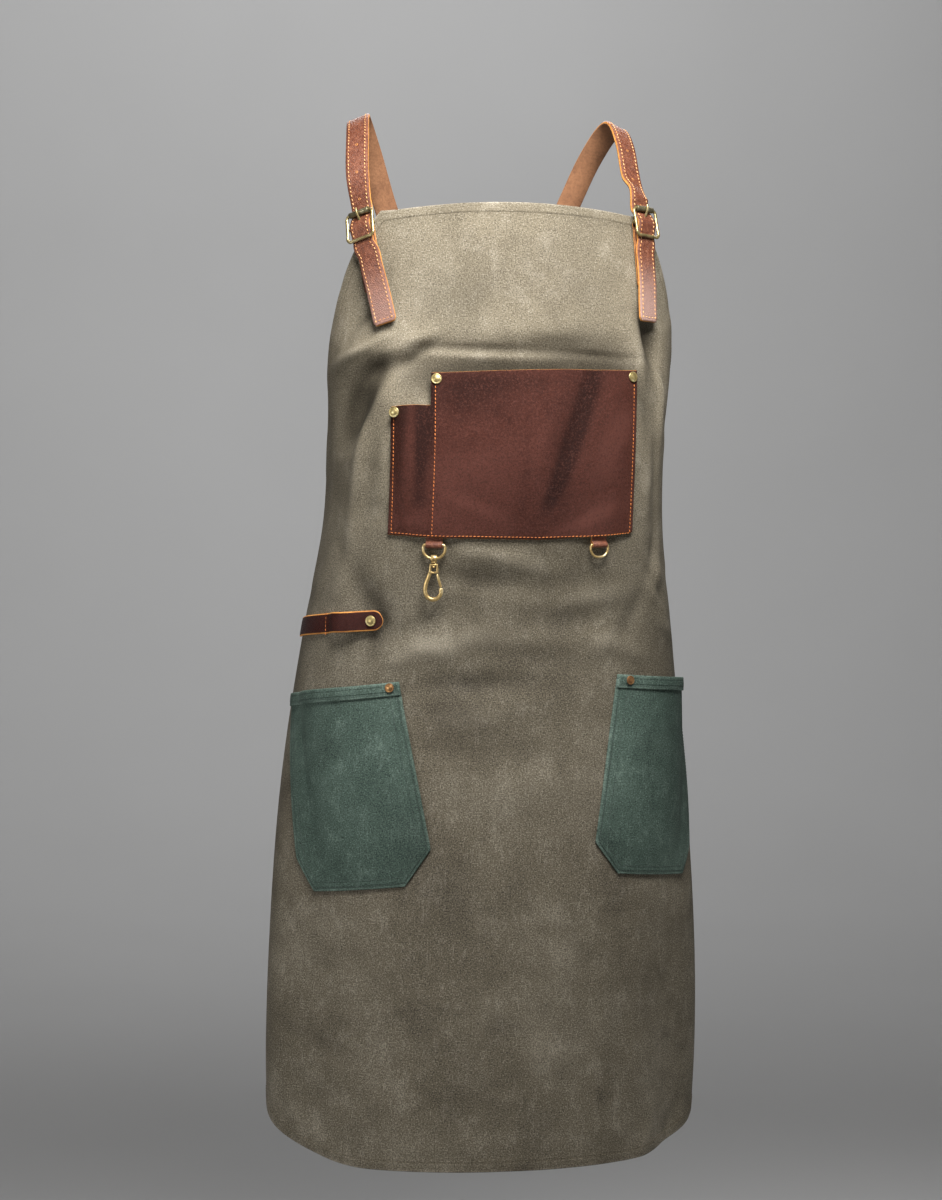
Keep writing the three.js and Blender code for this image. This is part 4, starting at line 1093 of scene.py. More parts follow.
# Painted light on the chest pocket: sheen and highlight where strength is over 0, fold shade where
# under 0; centre, direction in degrees, half length, half width, strength
CHEST_PAINTED_LIGHT = table(
    "s z turn long wide rise",
    (47, -298, 71, 66, 10, -1.5),
    (84, -304, 74, 38, 14, 0.9),
    (102, -286, 60, 24, 10, 0.5),
    (20, -292, 70, 40, 10, 0.4),
    (-44, -326, 12, 46, 20, 0.45),
    (-38, -360, -24, 28, 6, 0.6),
    (66, -370, 24, 32, 6, 0.8),
    (30, -350, 60, 26, 9, -0.5),
    (2, -352, 88, 34, 6, -0.5),
    (-92, -372, 10, 16, 7, 1.0),
    (-98, -306, 88, 52, 4, 0.7),
    (-88, -310, 88, 52, 5, -0.7),
    (-50, -262, 0, 40, 22, -0.5),
    (-10, -250, 0, 60, 8, -0.3),
)


def chest_down(z):
    """0 at the pocket's mouth, 1 at its foot."""
    return np.clip((CHEST_TOP - z) / CHEST_TALL, 0, 1)


def chest_painted_light(s, z):
    """Over 0 for painted sheen on the pocket's leather, under 0 for painted shade in its folds; also
    darker towards the mouth, paler towards the foot and darker over the slot.
    """
    down = chest_down(z)
    return fold_rise(s, z, CHEST_PAINTED_LIGHT) + 0.6 * (down - 0.4) - np.where(s < CHEST_SEAM, 0.6, 0)


def chest_lift(s, z):
    down = chest_down(z)
    slot = s < CHEST_SEAM
    low = np.where(slot, CHEST_LEFT, CHEST_SEAM)
    high = np.where(slot, CHEST_STEP, CHEST_RIGHT)
    part = np.clip((s - low) / (high - low), 0, 1)
    full = np.cos(down * math.pi / 2).clip(0) ** 0.8
    bow = CHEST_BOW * np.sin(part * math.pi).clip(0) ** 1.5 * full
    tabs = np.zeros_like(s)
    for at, *_ in RINGS.values():
        away = np.maximum(0, np.abs(s - at) - TAB_WIDE / 2 - 1) / TAB_FADE
        tabs = np.maximum(tabs, TAB_RISE * np.exp(-away * away) * ease(0.5, 0.94, down))
    held = np.sin(np.clip((s - CHEST_LEFT) / (CHEST_RIGHT - CHEST_LEFT), 0, 1) * math.pi).clip(0)
    folds = fold_rise(s, z, CHEST_FOLDS) * held * np.sin(np.clip(1 - down, 0, 1) * 1.5708)
    return SEAM + np.maximum(bow, tabs) + np.maximum(folds, -0.8 * bow)


def chest_pocket():
    o = CHEST_OUTLINE
    spans = [(k, int(n)) for k, n in enumerate(o["spans"]) if n]
    knots = [np.linspace(k, k + 1, n, endpoint=False) for k, n in spans]
    knots = np.concatenate([*knots, [4.0]])
    s, top, foot = (np.interp(knots, np.arange(5), o[k]) for k in ("s", "top", "foot"))
    s = np.concatenate([s[:1], s[:1] + 1.2, s[1:-1], s[-1:] - 1.2, s[-1:]])
    top, foot = (np.concatenate([v[:1], v[:1], v[1:-1], v[-1:], v[-1:]]) for v in (top, foot))
    fall = np.concatenate([[0, 0.008], np.linspace(0.02, 0.98, 62), [0.992, 1]])
    z = top[None] + (foot - top)[None] * fall[:, None]
    s = np.broadcast_to(s, z.shape)
    at, normal = cloth_frame(s, z)
    lift = chest_lift(s.ravel(), z.ravel()).reshape(s.shape)[..., None]
    shape, places = wall(at + normal * (lift + CHEST_WALL), at + normal * lift, 0.3)
    piece(
        "chest_pocket_leather",
        shape,
        [DARK_LEATHER, RAW_EDGE, FLESH_SIDE],
        ["chest_pocket"],
        fields={"painted_light": chest_painted_light(s.ravel(), z.ravel())[places]},
    )


def chest_stitches():
    left, right = CHEST_LEFT + CHEST_INSET, CHEST_RIGHT - CHEST_INSET
    outline = [(left, -274), (left, -385), (CHEST_STEP, -386.4), (20, -387.6)]
    outline += [(right, -384), (right, -250)]
    seam = [(CHEST_SEAM, -254), (CHEST_SEAM, -384)]
    lines = [
        on_cloth(path, lambda s, z: chest_lift(s, z) + CHEST_WALL + 0.1) for path in (outline, seam)
    ]
    stitches("chest_stitches", lines, ORANGE_THREAD, "dark_leather", **CHEST_STITCH)


# Hip pockets: places on one run across from its inner edge and down from its mouth, 0 to 1

POCKET_WALL, POCKET_BOW, POCKET_FULL = 1.4, 10.5, 0.8
POCKET_WIDE, POCKET_TALL = 136.0, 178.0
POCKET_CORNER, POCKET_CORNER_DROP = 0.8, 150
# Stitch lines, in from the sewn edges
POCKET_SEWN = 3.3, 9.5
BAND_WALL, BAND_TALL, STEP_GAP = 1.3, 11.5, 0.4
BAND_REACH = BAND_TALL / POCKET_CORNER_DROP * POCKET_CORNER
# The stitch line's place on the band's height
BAND_SEWN = 0.82
POCKETS = {
    "left": {
        "inner": [(-101, -521), (-71, -671), (-94, -705)],
        "outer": [(-240, -542), (-207, -688), (-184, -716)],
        "rivet": (-108, -526.5),
    },
    "right": {
        "inner": [(105, -515), (83, -667), (107, -697)],
        "outer": [(243, -529), (219, -682), (197, -707)],
        "rivet": (114, -520.5),
    },
}


def pocket_place(pocket, across, down):
    knots = np.array([0, POCKET_CORNER, 1])
    inner, outer = (np.array(pocket[k], float) for k in ("inner", "outer"))
    mixed = []
    for k in (0, 1):
        a, b = np.interp(down, knots, inner[:, k]), np.interp(down, knots, outer[:, k])
        mixed.append(a + (b - a) * across)
    return mixed


def pocket_lift(across, down):
    part = np.minimum(1, across / POCKET_FULL)
    bow = np.sin(part * math.pi).clip(0) ** 0.8 * np.cos(down * math.pi / 2).clip(0) ** 0.9
    sag = 0.7 * np.sin(across * 9 + down * 4) * np.sin(across * math.pi) * np.sin(down * math.pi)
    return SEAM + POCKET_BOW * bow + sag


def pocket_edge(across, down):
    """Distance from the sewn edges."""
    side = np.minimum(across, 1 - across) * POCKET_WIDE
    return np.minimum(side, (1 - down) * POCKET_TALL)


def pocket_panel_faces(across, down):
    """Lift of the inner and outer face, and distance from the edge."""
    edge = pocket_edge(across, down)
    sewn = sum(0.3 * np.exp(-(((edge - inset) / 0.8) ** 2)) for inset in POCKET_SEWN)
    low = pocket_lift(across, down) - sewn * 0.6
    return low, low + POCKET_WALL, edge


def pocket_band_faces(across, down):
    depth = down / BAND_REACH
    puff = 0.25 * np.sin(depth * math.pi) - 0.25 * np.exp(-(((depth - BAND_SEWN) / 0.08) ** 2))
    low = pocket_lift(across, down) + POCKET_WALL + STEP_GAP
    edge = np.minimum(np.minimum(depth, 1 - depth) * BAND_TALL, pocket_edge(across, down))
    return low, low + BAND_WALL + puff, edge


def hip_pocket(side, pocket):
    near = np.array([0, 0.6, 2, 3.3, 4.6, 7, 9, 10.4]) / POCKET_WIDE
    columns = np.concatenate([near, np.linspace(0.1, 0.9, 46), 1 - near[::-1]])
    fall = np.concatenate([[0, 0.004], np.linspace(0.012, 0.925, 60), 1 - near[::-1] * 0.76])

    def layer(node, rows, faces_at, round_by):
        down, across = np.meshgrid(rows, columns, indexing="ij")
        s, z = pocket_place(pocket, across, down)
        at, normal = cloth_frame(s, z)
        low, high, edge = faces_at(across, down)
        shape, places = wall(at + normal * high[..., None], at + normal * low[..., None], round_by)
        return piece(
            "hip_" + node,
            shape,
            [GREEN],
            [node],
            fields={"edge": np.maximum(edge, 0).ravel()[places] * MM},
            uv=np.stack([s.ravel(), z.ravel()], 1)[places],
        )

    panel = layer(f"pocket_{side}", fall, pocket_panel_faces, 0.3)
    rows = np.linspace(0, BAND_REACH, 14)
    band = layer(f"pocket_{side}_band", rows, pocket_band_faces, 0.35)

    def line(places, extra):
        places = np.array(places, float)
        count = len(places) - 1
        steps = np.linspace(0, count, 60 * count)
        a, d = (np.interp(steps, np.arange(count + 1), v) for v in places.T)
        s, z = pocket_place(pocket, a, d)
        at, normal = cloth_frame(s, z)
        return at + normal * (pocket_lift(a, d) + extra)[:, None], normal

    rows = []
    for inset in POCKET_SEWN:
        a, d = inset / POCKET_WIDE, 1 - inset / POCKET_TALL
        low = POCKET_CORNER - 0.12 * inset / 10
        path = [(a, 0.085), (a, low), (a + 0.02, d)]
        path += [(1 - a - 0.02, d), (1 - a, low), (1 - a, 0.085)]
        rows.append(line(path, POCKET_WALL + 0.05))
    sewn = BAND_REACH * BAND_SEWN
    rows.append(line([(0.015, sewn), (0.985, sewn)], POCKET_WALL + STEP_GAP + BAND_WALL - 0.1))
    name = f"hip_pocket_{side}_stitches"
    stitches(name, rows, GREEN_THREAD, "green_canvas", **POCKET_STITCH)


# Straps, with the frames of the buckles on the bib's corners: across, up along the strap, out

STRAP_WIDE, STRAP_THICK = 22, 3.6
# The last value in each row sets how pale the tail's tip gets: painted sheen, partly wear as well
BUCKLES = {
    "left": dict(hand=-1, s=-142, z=-109.5, lean=-17, tail=-12, tab=-9, over=0, shift=-2.5, rub_and_sheen=0.3),
    "right": dict(hand=1, s=125, z=-101, lean=4, tail=-3, tab=-3, over=5.2, shift=-2.5, rub_and_sheen=0.6),
}
# Down from the buckle and out; then up through the buckle and out
TAIL_FROM = 19
STRAP_TAIL = [(92, 4.6), (75, 5.6), (58, 6.8), (40, 7.2), (27, 7.2)]
STRAP_WEAVE = [(-19, 7.0), (-13, 6.9), (-6.5, 8.5), (0, 9.5), (6.5, 6.6), (13, 2.6)]
STRAP_WEAVE += [(19, 2.4), (26, 3.0)]
STRAP_ROUTE = table(
    "x y z nx ny nz clear near",
    (-129, -49, -51, -0.48, -0.76, 0.44, 0, 1),
    (-126.5, -28, -16, -0.44, -0.5, 0.75, 0, 1),
    (-123.5, -5, 1.6, -0.41, -0.1, 0.91, 0, 0.8),
    (-119, 17, -0.5, -0.38, 0.3, 0.87, 0, 0.5),
    (-106, 45, -27, -0.3, 0.64, 0.7, 0, 0.2),
    (-85, 71, -82, -0.2, 0.88, 0.42, 0.2, 0),
    (-53, 89, -150, -0.1, 0.97, 0.2, 0.8, 0),
    (-18, 97, -208, -0.03, 1, 0.05, 1, 0),
    (18, 97, -262, 0.03, 1, 0, 1, 0),
    (53, 90, -325, 0.25, 0.96, 0, 0.7, 0),
    (83, 79, -385, 0.45, 0.89, 0, 0.1, 0),
)
STRAP_END = [(327, -428), (318, -447), (309, -466), (302, -482)]
STRAP_INSET = 3.6
# Heights of the punched holes, and profiles of a hole's lip and well; the well is a dark metal disc
# standing in for the hole's depth as painted shade
STRAP_HOLES = [-76, -50, -24]
HOLE_LIP = [(0.8, -0.5), (0.85, -0.1), (1.0, -0.06), (1.2, -0.12), (1.35, -0.5)]
HOLE_WELL = [(0.9, -0.3), (0, -0.3)]


def buckle_frame(buckle):
    """Origin and axes of a buckle, and the pattern place under it at a distance and lean."""
    at, out = spot(buckle["s"], buckle["z"])
    level = unit(np.array([-out[1], out[0], 0]))
    steep = np.cross(out, level)
    lean = math.radians(buckle["lean"])
    up = steep * math.cos(lean) + level * math.sin(lean)
    axes = np.stack([np.cross(up, out), up, out])

    def under(distance, degrees, start=(buckle["s"], buckle["z"])):
        turn = math.radians(degrees)
        return start[0] - distance * math.sin(turn), start[1] - distance * math.cos(turn) * steep[2]

    return at, axes, under


def strip_section(wide, thick, seam=0.0, bevel=0.55, bare=0):
    """Bevelled leather section; returns its points and its faces' marks: 0 grain, 1 edge, 2 flesh.
    bare is the mark of the bevel."""
    w, h = wide / 2, thick / 2
    top = [(-w + bevel, h), (-w + 2.4, h - 0.02), (-w / 2, h + 0.12), (0, h + 0.16)]
    top += [(-x, y) for x, y in top[-2::-1]]
    side = [(w, h * 0.5), (w + 0.05, 0.25), (w + 0.05 - seam, 0), (w + 0.05, -0.25), (w, -h * 0.5)]
    base = [(w - bevel, -h), (0, -h), (-w + bevel, -h)]
    other = [(-x, y) for x, y in side[::-1]]
    rim = [1] * (len(side) - 1)
    marks = [0] * (len(top) - 1) + [bare] + rim + [2] * (len(base) + 1) + rim + [bare]
    return np.array(top + side + base + other)[::-1], marks[::-1][1:] + marks[::-1][:1]


def strap(side, buckle):
    at0, axes, under = buckle_frame(buckle)
    knots = []
    leaves = under(TAIL_FROM, buckle["lean"])
    for down, lift in STRAP_TAIL:
        point, out = spot(*under(down - TAIL_FROM, buckle["tail"], leaves))
        knots.append([*(point + out * lift), *out])
    for up, out in STRAP_WEAVE:
        knots.append([*(at0 + axes[1] * up + axes[2] * out), *axes[2]])
    hand = buckle["hand"]
    for x, y, z, nx, ny, nz, clear, near in zip(*STRAP_ROUTE.values()):
        x = buckle["shift"] * near - hand * x
        knots.append([x, y + clear * buckle["over"], z, -hand * nx, ny, nz])
    for s, z in STRAP_END:
        point, out = spot(-hand * s, z)
        knots.append([*(point + out * (SEAM + STRAP_THICK / 2)), *out])
    line = curve(knots, 14)
    at, out = line[:, :3], line[:, 3:]
    along, across, out = frames(at, out)
    reach = np.concatenate([[0], np.cumsum(np.linalg.norm(np.diff(at, axis=0), axis=1))])
    # Narrower at the tail's tip, rounded off at the far end
    wide = 1 - 0.16 * (1 - ease(0, 3.2, reach)) - 0.5 * (1 - ease(0, 9, reach[-1] - reach)) ** 2
    section, marks = strip_section(STRAP_WIDE, STRAP_THICK, 0.16)
    # The tail grows paler towards its tip: painted sheen, partly wear as well
    piece(
        f"shoulder_strap_{side}",
        sweep(at, across, out, section, wide, edges=marks),
        [STRAP_LEATHER, RAW_EDGE, FLESH_SIDE],
        [f"strap_{side}"],
        fields={"rub_and_sheen": np.repeat((1 - ease(12, 66, reach)) * buckle["rub_and_sheen"], len(section))},
    )
    face, half = STRAP_THICK / 2 + 0.1, STRAP_WIDE / 2 - 3
    keep = (reach > STRAP_INSET) & (reach < reach[-1] - 10)
    rows = [((at + across * hand * half + out * face)[keep], out[keep]) for hand in (-1, 1)]
    k = int(np.searchsorted(reach, STRAP_INSET))
    ends = np.linspace(-1, 1, 12)[:, None] * half
    facing = np.repeat(out[k : k + 1], 12, 0)
    rows.append((at[k] + across[k] * ends + out[k] * (face + 0.05), facing))
    name = f"strap_{side}_stitches"
    stitches(name, rows, PALE_THREAD, "strap_leather", **STRAP_STITCH)
    punched = []
    front = at[:, 1] < -8
    for height in STRAP_HOLES:
        k = int(np.argmin(np.where(front, np.abs(at[:, 2] - height), 1e9)))
        turn = np.stack([across[k], along[k], out[k]], 1)
        centre = at[k] + out[k] * (STRAP_THICK / 2 + 0.34)
        for mark, profile in enumerate((HOLE_LIP, HOLE_WELL)):
            punched.append(lathe(profile, 16, turn, centre, mark))
    piece(f"strap_{side}_holes", join(*punched), [RAW_EDGE, ROLLER])
    return at0, axes, under


# Buckles

LOOP_WIRE, BAR, PRONG_WIRE = 1.5, 1.4, 1.15
BUCKLE_HALF, BUCKLE_CORNER = 14.2, 2.4
TOP_BAR, MIDDLE_BAR, LOW_BAR = (13, 8.2), (0, 3.9), (-13, 11.0)
MIDDLE_BEND = [(5, 3.9), (10.4, 3.9), (12.4, 4.9), (13.6, 7.4), (BUCKLE_HALF, 9.6)]
PRONG = [(1.4, 6.0), (4.2, 7.6), (8.4, 10.4), (13, 12.5), (16.6, 12.3)]
# One end each, as radius and height
ROLLER_END = [(1.85, -10.8), (2.5, -10.8), (2.8, -10.4)]
PRONG_EYE = [(1.75, -1.3), (2.9, -1.3), (2.95, -0.9)]
TAB_LEAF, TAB_HALF, TAB_LONG = 1.6, 10, 58


def tube(end):
    """The closed profile of a tube from its lower end."""
    return end + [(r, -h) for r, h in end[::-1]] + end[:1]


def buckle(side, at0, axes, under, tab_lean):
    top, low = TOP_BAR[0], LOW_BAR[0]
    near = BUCKLE_HALF - BUCKLE_CORNER
    side_up = [top - BUCKLE_CORNER, top * 0.4, low * 0.4, low + BUCKLE_CORNER]
    bars = [(x, top) for x in (-near, -near * 0.7, near * 0.7, near)]
    bars += [(BUCKLE_HALF, up) for up in side_up]
    bars += [(x, low) for x in (near, near * 0.7, -near * 0.7, -near)]
    bars += [(-BUCKLE_HALF, up) for up in side_up[::-1]]
    tilt = (TOP_BAR[1] - LOW_BAR[1]) / (top - low)
    corners = [(x, up, LOW_BAR[1] + (up - low) * tilt) for x, up in bars]
    loop = rod(corners, 10, (0, 0, 1), round_section(LOOP_WIRE, 14, 0.9), closed=True)
    dip = [(-x, n) for x, n in MIDDLE_BEND[::-1]] + MIDDLE_BEND
    dip = [(x, MIDDLE_BAR[0], n) for x, n in dip]
    middle = rod(dip, 6, (0, 1, 0), round_section(BAR, 12))
    roller = lathe(tube(ROLLER_END), 24, SIDEWAYS, (0, *TOP_BAR))
    prong = [(0, *p) for p in PRONG]
    tongue = rod(prong, 8, (0, 0, 1), round_section(PRONG_WIRE, 12, 0.95), taper=(1.15, 0.8))
    eye = lathe(tube(PRONG_EYE), 20, SIDEWAYS, (0, *MIDDLE_BAR))
    for name, shape, metal, slot, node in (
        ("loop", join(loop, middle), BUCKLE, "buckle_metal", "frame"),
        ("rod", roller, ROLLER, "roller_metal", "roller"),
        ("tongue", join(tongue, eye), BUCKLE, "buckle_metal", "prong"),
    ):
        shape = placed(shape, axes, at0)
        piece(f"buckle_{side}_{name}", shape, [metal], [f"buckle_{side}_{node}"])

    def leaf(downs, lift, facing):
        for down in downs:
            point, out = spot(*under(down, tab_lean))
            knots.append([*(point + out * (SEAM + lift)), *(out * facing)])

    knots = []
    leaf((TAB_LONG, 40, 22, 8), TAB_LEAF / 2, 1)
    radius = BAR + 0.35 + TAB_LEAF / 2
    for angle in map(math.radians, (-60, -10, 40, 90, 140)):
        face = np.array([0, math.cos(angle), math.sin(angle)])
        place = np.array([0, *MIDDLE_BAR]) + radius * face
        knots.append([*(place @ axes + at0), *(-face @ axes)])
    leaf((8, 22, 40, TAB_LONG), 1.5 * TAB_LEAF, -1)
    line = curve(knots, 8)
    at, out = line[:, :3], -line[:, 3:]
    _, across, out = frames(at, out)
    section, marks = strip_section(2 * TAB_HALF, TAB_LEAF - 0.08)
    piece(
        f"buckle_{side}_chape",
        sweep(at, across, out, section, edges=marks),
        [STRAP_LEATHER, RAW_EDGE, STRAP_LEATHER],
        [f"buckle_{side}_tab"],
    )


# Ring tabs, rings and the snap hook. Each ring hangs in a frame with its origin in the middle of
# the ring's bar: x along the bar, y into the apron, z up.

SWIVEL_EYE = [(2.15, -2.5), (2.35, -2.7), (3.1, -2.7), (3.4, -2.3)]
SWIVEL_SHOULDER = -4.6
# Radius, and height above the shoulder
SWIVEL_PIN = [(2.55, 0.8), (2.2, 0.35), (1.1, 0.35), (1.1, -2.3), (1.6, -2.35), (1.8, -2.8)]
SWIVEL_PIN += [(1.5, -3.5), (0, -3.7)]
HOOK_WIRE, HOOK_THICK, HOOK_ROUND = 1.85, 3.6, 0.45
HOOK_HEAD = [(-4.5, -8.6), (0, -9.0), (4.5, -8.6), (4.2, -5.0), (3.5, 0), (0, 0.0)]
HOOK_HEAD += [(-3.5, 0), (-4.2, -5.0)]
HOOK_WINDOW = [(-2.3, -6.9), (0, -7.3), (2.3, -6.9), (2.3, -4.4), (2.2, -1.9), (0, -1.9)]
HOOK_WINDOW += [(-2.2, -1.9), (-2.3, -4.4)]
HOOK_ARM = [(-2.9, -7.4), (-4.9, -12.5), (-6.9, -18.5), (-7.6, -24.5), (-5.7, -29.8)]
HOOK_ARM += [(-1.0, -32.4), (3.8, -31.0), (6.5, -27.2), (6.8, -22.1)]
GATE_TOP, GATE_FOOT, GATE_WIRE = (3.4, -10.4), (6.4, -20.3), 1.2
# Shares of the ring's half width and drop
RING_BEND = [(-0.86, 0), (-0.45, 0), (0.45, 0), (0.86, 0), (0.97, -0.1), (1, -0.3)]
RING_BEND += [(0.9, -0.62), (0.52, -0.92), (0, -1), (-0.52, -0.92), (-0.9, -0.62)]
RING_BEND += [(-1, -0.3), (-0.97, -0.1)]


def plate(outline, hole, thick, round_by):
    """A flat frame: outline and hole have matching corners (x, z); y is the thickness."""
    shape = []
    edge = 1 - 2 * round_by / thick
    for loop, grow in ((outline, -round_by), (hole, round_by)):
        loop = np.array(loop, float)
        centre = loop.mean(0)
        for y, inset in ((-1, 1), (-edge, 0), (edge, 0), (1, 1)):
            moved = loop + unit(loop - centre) * grow * inset
            shape.append(np.stack([moved[:, 0], np.full(len(loop), y * thick / 2), moved[:, 1]], 1))
    n = len(outline)
    points = np.concatenate(shape)
    order = [0, 1, 2, 3, 7, 6, 5, 4, 0]
    faces = []
    for a, b in zip(order, order[1:]):
        for k in range(n):
            m = (k + 1) % n
            faces.append((a * n + k, a * n + m, b * n + m, b * n + k))
    faces = outward(points, np.array(faces))
    return points, faces.tolist(), np.zeros(len(faces))


def ring_set(side, row):
    """The tab and ring of a side; returns the place and axes of the ring's lowest point."""
    s, z, half, drop, wire = row
    lift = wire + RING_PLAY + TAB_WALL + SEAM + 0.3
    at0, out = spot(s, z)
    above, _ = spot(s, z + TAB_TUCK)
    ahead = unit(np.array([out[0], out[1], 0]))
    rise = float((above - at0) @ ahead)
    at0 = at0 + out * lift
    axes = np.stack([np.array([-ahead[1], ahead[0], 0]), -ahead, np.array([0, 0, 1.0])])
    back = lift - TAB_SEAT
    radius = wire + RING_PLAY + TAB_WALL / 2
    inner, outer = back - TAB_WALL / 2, back - 1.5 * TAB_WALL
    path = [(inner - rise, TAB_TUCK), (inner - rise * 0.5, TAB_TUCK / 2), (inner, 2.4)]
    turns = np.radians([20, -30, -80, -130, -180, -225])
    path += [(radius * math.cos(a), radius * math.sin(a)) for a in turns]
    path += [(outer - 0.2, 3.4), (outer - rise * 0.5, TAB_TUCK / 2), (outer - rise, TAB_TUCK)]
    line = curve([(0, y, h) for y, h in path], 6)
    along = unit(np.gradient(line, axis=0))
    _, across, face = frames(line, np.cross(along, [1.0, 0, 0]))
    section, marks = strip_section(TAB_WIDE, TAB_WALL - 0.06)
    piece(
        f"ring_{side}_loop",
        placed(sweep(line, across, face, section, edges=marks), axes, at0),
        [STRAP_LEATHER, RAW_EDGE, STRAP_LEATHER],
        [f"ring_tab_{side}"],
    )
    bend = [(x * half, 0, h * drop) for x, h in RING_BEND]
    ring = rod(bend, 8, (0, 1, 0), round_section(wire, 14), closed=True)
    ring = placed(ring, axes, at0)
    piece(f"ring_{side}_wire", ring, [GOLD], [f"ring_{side}"], f"ring_{side}")
    return at0 + np.array([0, 0, -drop]), axes


def snap_hook(at0, axes):
    pin = [(0, -2.5), (2.5, -2.6), *((r, SWIVEL_SHOULDER + h) for r, h in SWIVEL_PIN)]
    swivel = join(lathe(tube(SWIVEL_EYE), 28, SIDEWAYS), lathe(pin, 24))
    arm = [(x, 0, h) for x, h in HOOK_ARM]
    arm = rod(arm, 8, (0, 1, 0), round_section(HOOK_WIRE, 14, 0.87))
    body = join(plate(HOOK_HEAD, HOOK_WINDOW, HOOK_THICK, HOOK_ROUND), arm)
    top, foot = (np.array([x, 0, h]) for x, h in (GATE_TOP, GATE_FOOT))
    reach = float(np.linalg.norm(foot - top))
    down = (foot - top) / reach
    turn = np.stack([np.cross([0, 1, 0], down), [0, 1, 0], down], 1)
    ends = np.radians([-90, -60, -30, 0])
    cap = [(GATE_WIRE * math.cos(a), GATE_WIRE * math.sin(a)) for a in ends]
    profile = cap + [(GATE_WIRE, reach * 0.5)] + [(r, reach - h) for r, h in cap[::-1]]
    gate = lathe(profile, 16, turn, top)
    for name, shape, low, rides in (
        ("swivel", swivel, 0.0, "hook_swivel"),
        ("body", body, SWIVEL_SHOULDER, "hook"),
        ("gate", gate, SWIVEL_SHOULDER, "gate"),
    ):
        shape = placed(shape, axes, at0, low)
        piece("snap_hook_" + name, shape, [GOLD], ["hook_" + name], rides)


# Tool loop

LOOP_WALL, LOOP_TALL = 1.9, 18.6
LOOP_STRIP = table(
    "s z lift",
    (-252, -481, 0),
    (-225, -477.5, 0),
    (-196, -474, 0),
    (-180, -472, 0),
    (-174, -471.3, 1.2),
    (-163, -470, 7.4),
    (-152, -469, 8.2),
    (-141, -467.6, 4.6),
    (-134, -466.8, 0.8),
    (-128, -466.2, 0),
    (-123, -465.6, 0),
    (-119.4, -465.3, 0),
    (-117.6, -465, 0),
)


def tool_loop():
    o = LOOP_STRIP
    at, out = cloth_frame(o["s"], o["z"])
    at = at + out * (SEAM + o["lift"] + LOOP_WALL / 2)[:, None]
    line = curve(np.concatenate([at, out], 1), 8)
    at, out = line[:, :3], line[:, 3:]
    end = np.linalg.norm(at - at[-1], axis=1)
    half = LOOP_TALL / 2
    arc = np.sqrt(np.clip(1 - ((half - np.clip(end, 0, half)) / half) ** 2, 0.02, 1))
    wide = np.where(end < half, arc, 1.0)
    _, across, out = frames(at, out)
    section, marks = strip_section(LOOP_TALL, LOOP_WALL, bevel=1.1, bare=1)
    piece(
        "tool_loop_strip",
        sweep(at, across, out, section, wide, edges=marks),
        [LOOP_LEATHER, RAW_EDGE, FLESH_SIDE],
        ["tool_loop"],
    )
    row = on_cloth([(-179.6, -463.4), (-178.2, -481.4)], SEAM + LOOP_WALL + 0.1)
    stitches("tool_loop_stitches", [row], ORANGE_THREAD, "dark_leather", **LOOP_STITCH)


# Rivets

# Radii of the caps
CHEST_CAP, POCKET_CAP, LOOP_CAP, STRAP_CAP = 4.9, 4.3, 5.0, 4.6
LOOP_STUD, STRAP_RIVET = (-128.5, -466.5), (310.5, -463)
CHEST_RIVETS = [
    ("chest_rivet_slot", -113, -277),
    ("chest_rivet_left", -76, -246.5),
    ("chest_rivet_right", 108.5, -242),
]


def caps(name, rows, material):
    """Domed caps: each row gives the replaced node, pattern place, lift and radius."""
    nodes, s, z, lift, radius = zip(*rows)
    at, out = cloth_frame(np.array(s, float), np.array(z, float))
    at = at + out * np.array(lift, float)[:, None]
    fields = {"out": out, "size": np.array(radius, float)}
    made = grown(name, SET_CAPS, at, [], fields, {"Cap": CAP, "Metal": material})
    dress(made, nodes)


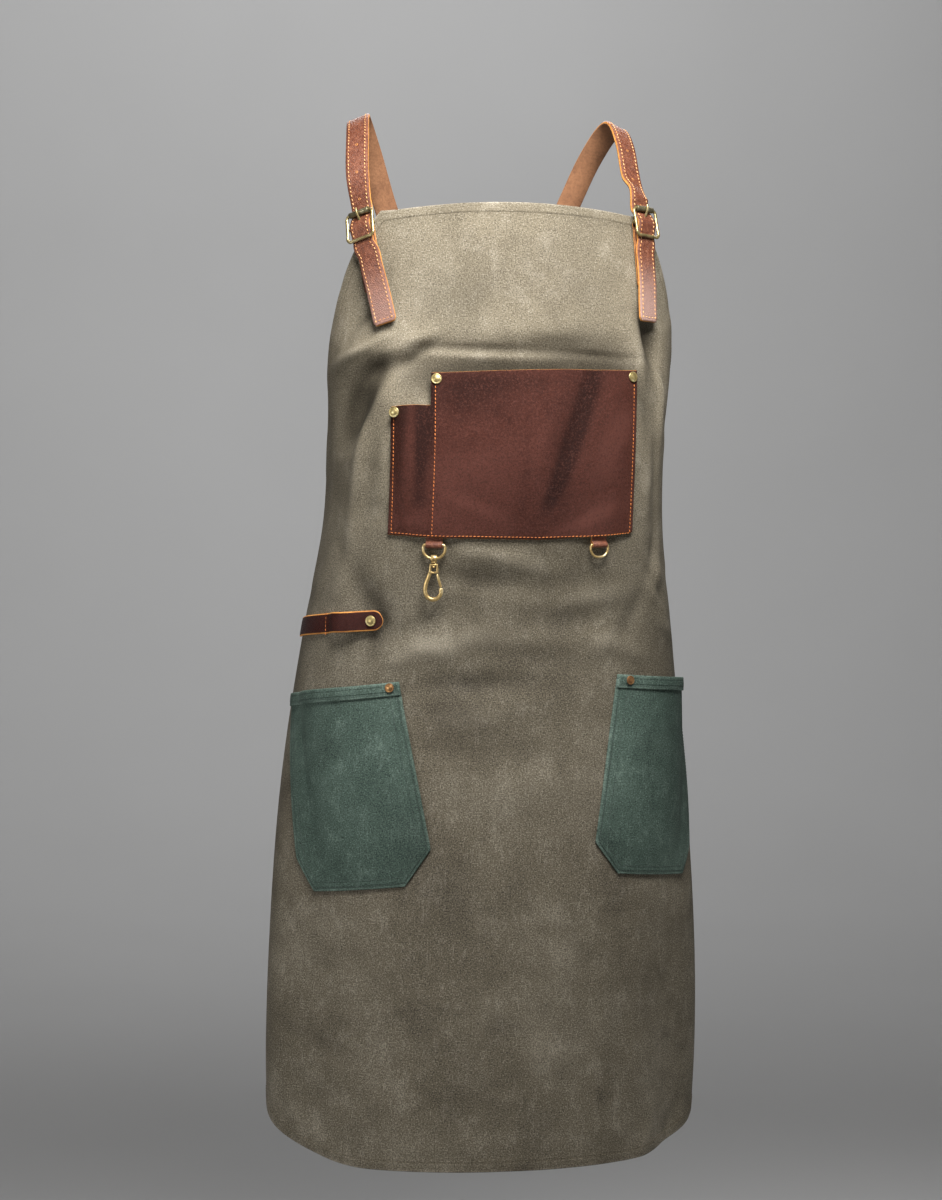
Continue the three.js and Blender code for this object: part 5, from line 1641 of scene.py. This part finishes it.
def cap_template():
    profile = [(0, -0.02), (0.9, -0.02), (0.98, 0.02), (1, 0.1), (0.97, 0.19), (0.88, 0.25)]
    profile += [(0.8, 0.22), (0.74, 0.2), (0.66, 0.24), (0.46, 0.32), (0.22, 0.37), (0, 0.38)]
    points, faces, _ = lathe(profile, 28)
    return bpy.data.objects.new("rivet_cap", mesh_of("rivet_cap", points, faces))


def rivets():
    rows = []
    for node, s, z in CHEST_RIVETS:
        lift = chest_lift(np.array([s - 3.0, s, s + 3.0]), np.full(3, float(z))).max()
        rows.append((node, s, z, float(lift) + CHEST_WALL + 0.3, CHEST_CAP))
    caps("chest_rivets", rows, BRASS)
    rows = []
    for side, pocket in POCKETS.items():
        s, z = pocket["rivet"]
        inner, outer = pocket["inner"][0][0], pocket["outer"][0][0]
        bow = pocket_lift(np.array((s - inner) / (outer - inner)), np.array(0.03))
        high = float(bow) + POCKET_WALL + STEP_GAP + BAND_WALL
        rows.append((f"pocket_{side}_rivet", s, z, high + 1.5, POCKET_CAP))
    caps("hip_pocket_rivets", rows, COPPER)
    stud = ("tool_loop_stud", *LOOP_STUD, SEAM + LOOP_WALL + 0.6, LOOP_CAP)
    caps("tool_loop_rivet", [stud], BRASS)
    s, z = STRAP_RIVET
    rows = [
        (f"strap_{side}_rivet", -row["hand"] * s, z, SEAM + STRAP_THICK + 0.5, STRAP_CAP)
        for side, row in BUCKLES.items()
    ]
    caps("strap_end_rivets", rows, BRASS)


camera()
backdrop()
lights()
STITCH_ROW = stitch_tree()
SET_CAPS = cap_tree()
CAP = cap_template()
canvas_panel()
canvas_hem()
chest_pocket()
chest_stitches()
for pocket_side, pocket_row in POCKETS.items():
    hip_pocket(pocket_side, pocket_row)
for strap_side, strap_row in BUCKLES.items():
    buckle(strap_side, *strap(strap_side, strap_row), strap_row["tab"])
hook_place = ring_set("left", RINGS["left"])
ring_set("right", RINGS["right"])
snap_hook(*hook_place)
tool_loop()
rivets()
bpy.data.objects.remove(CAP)
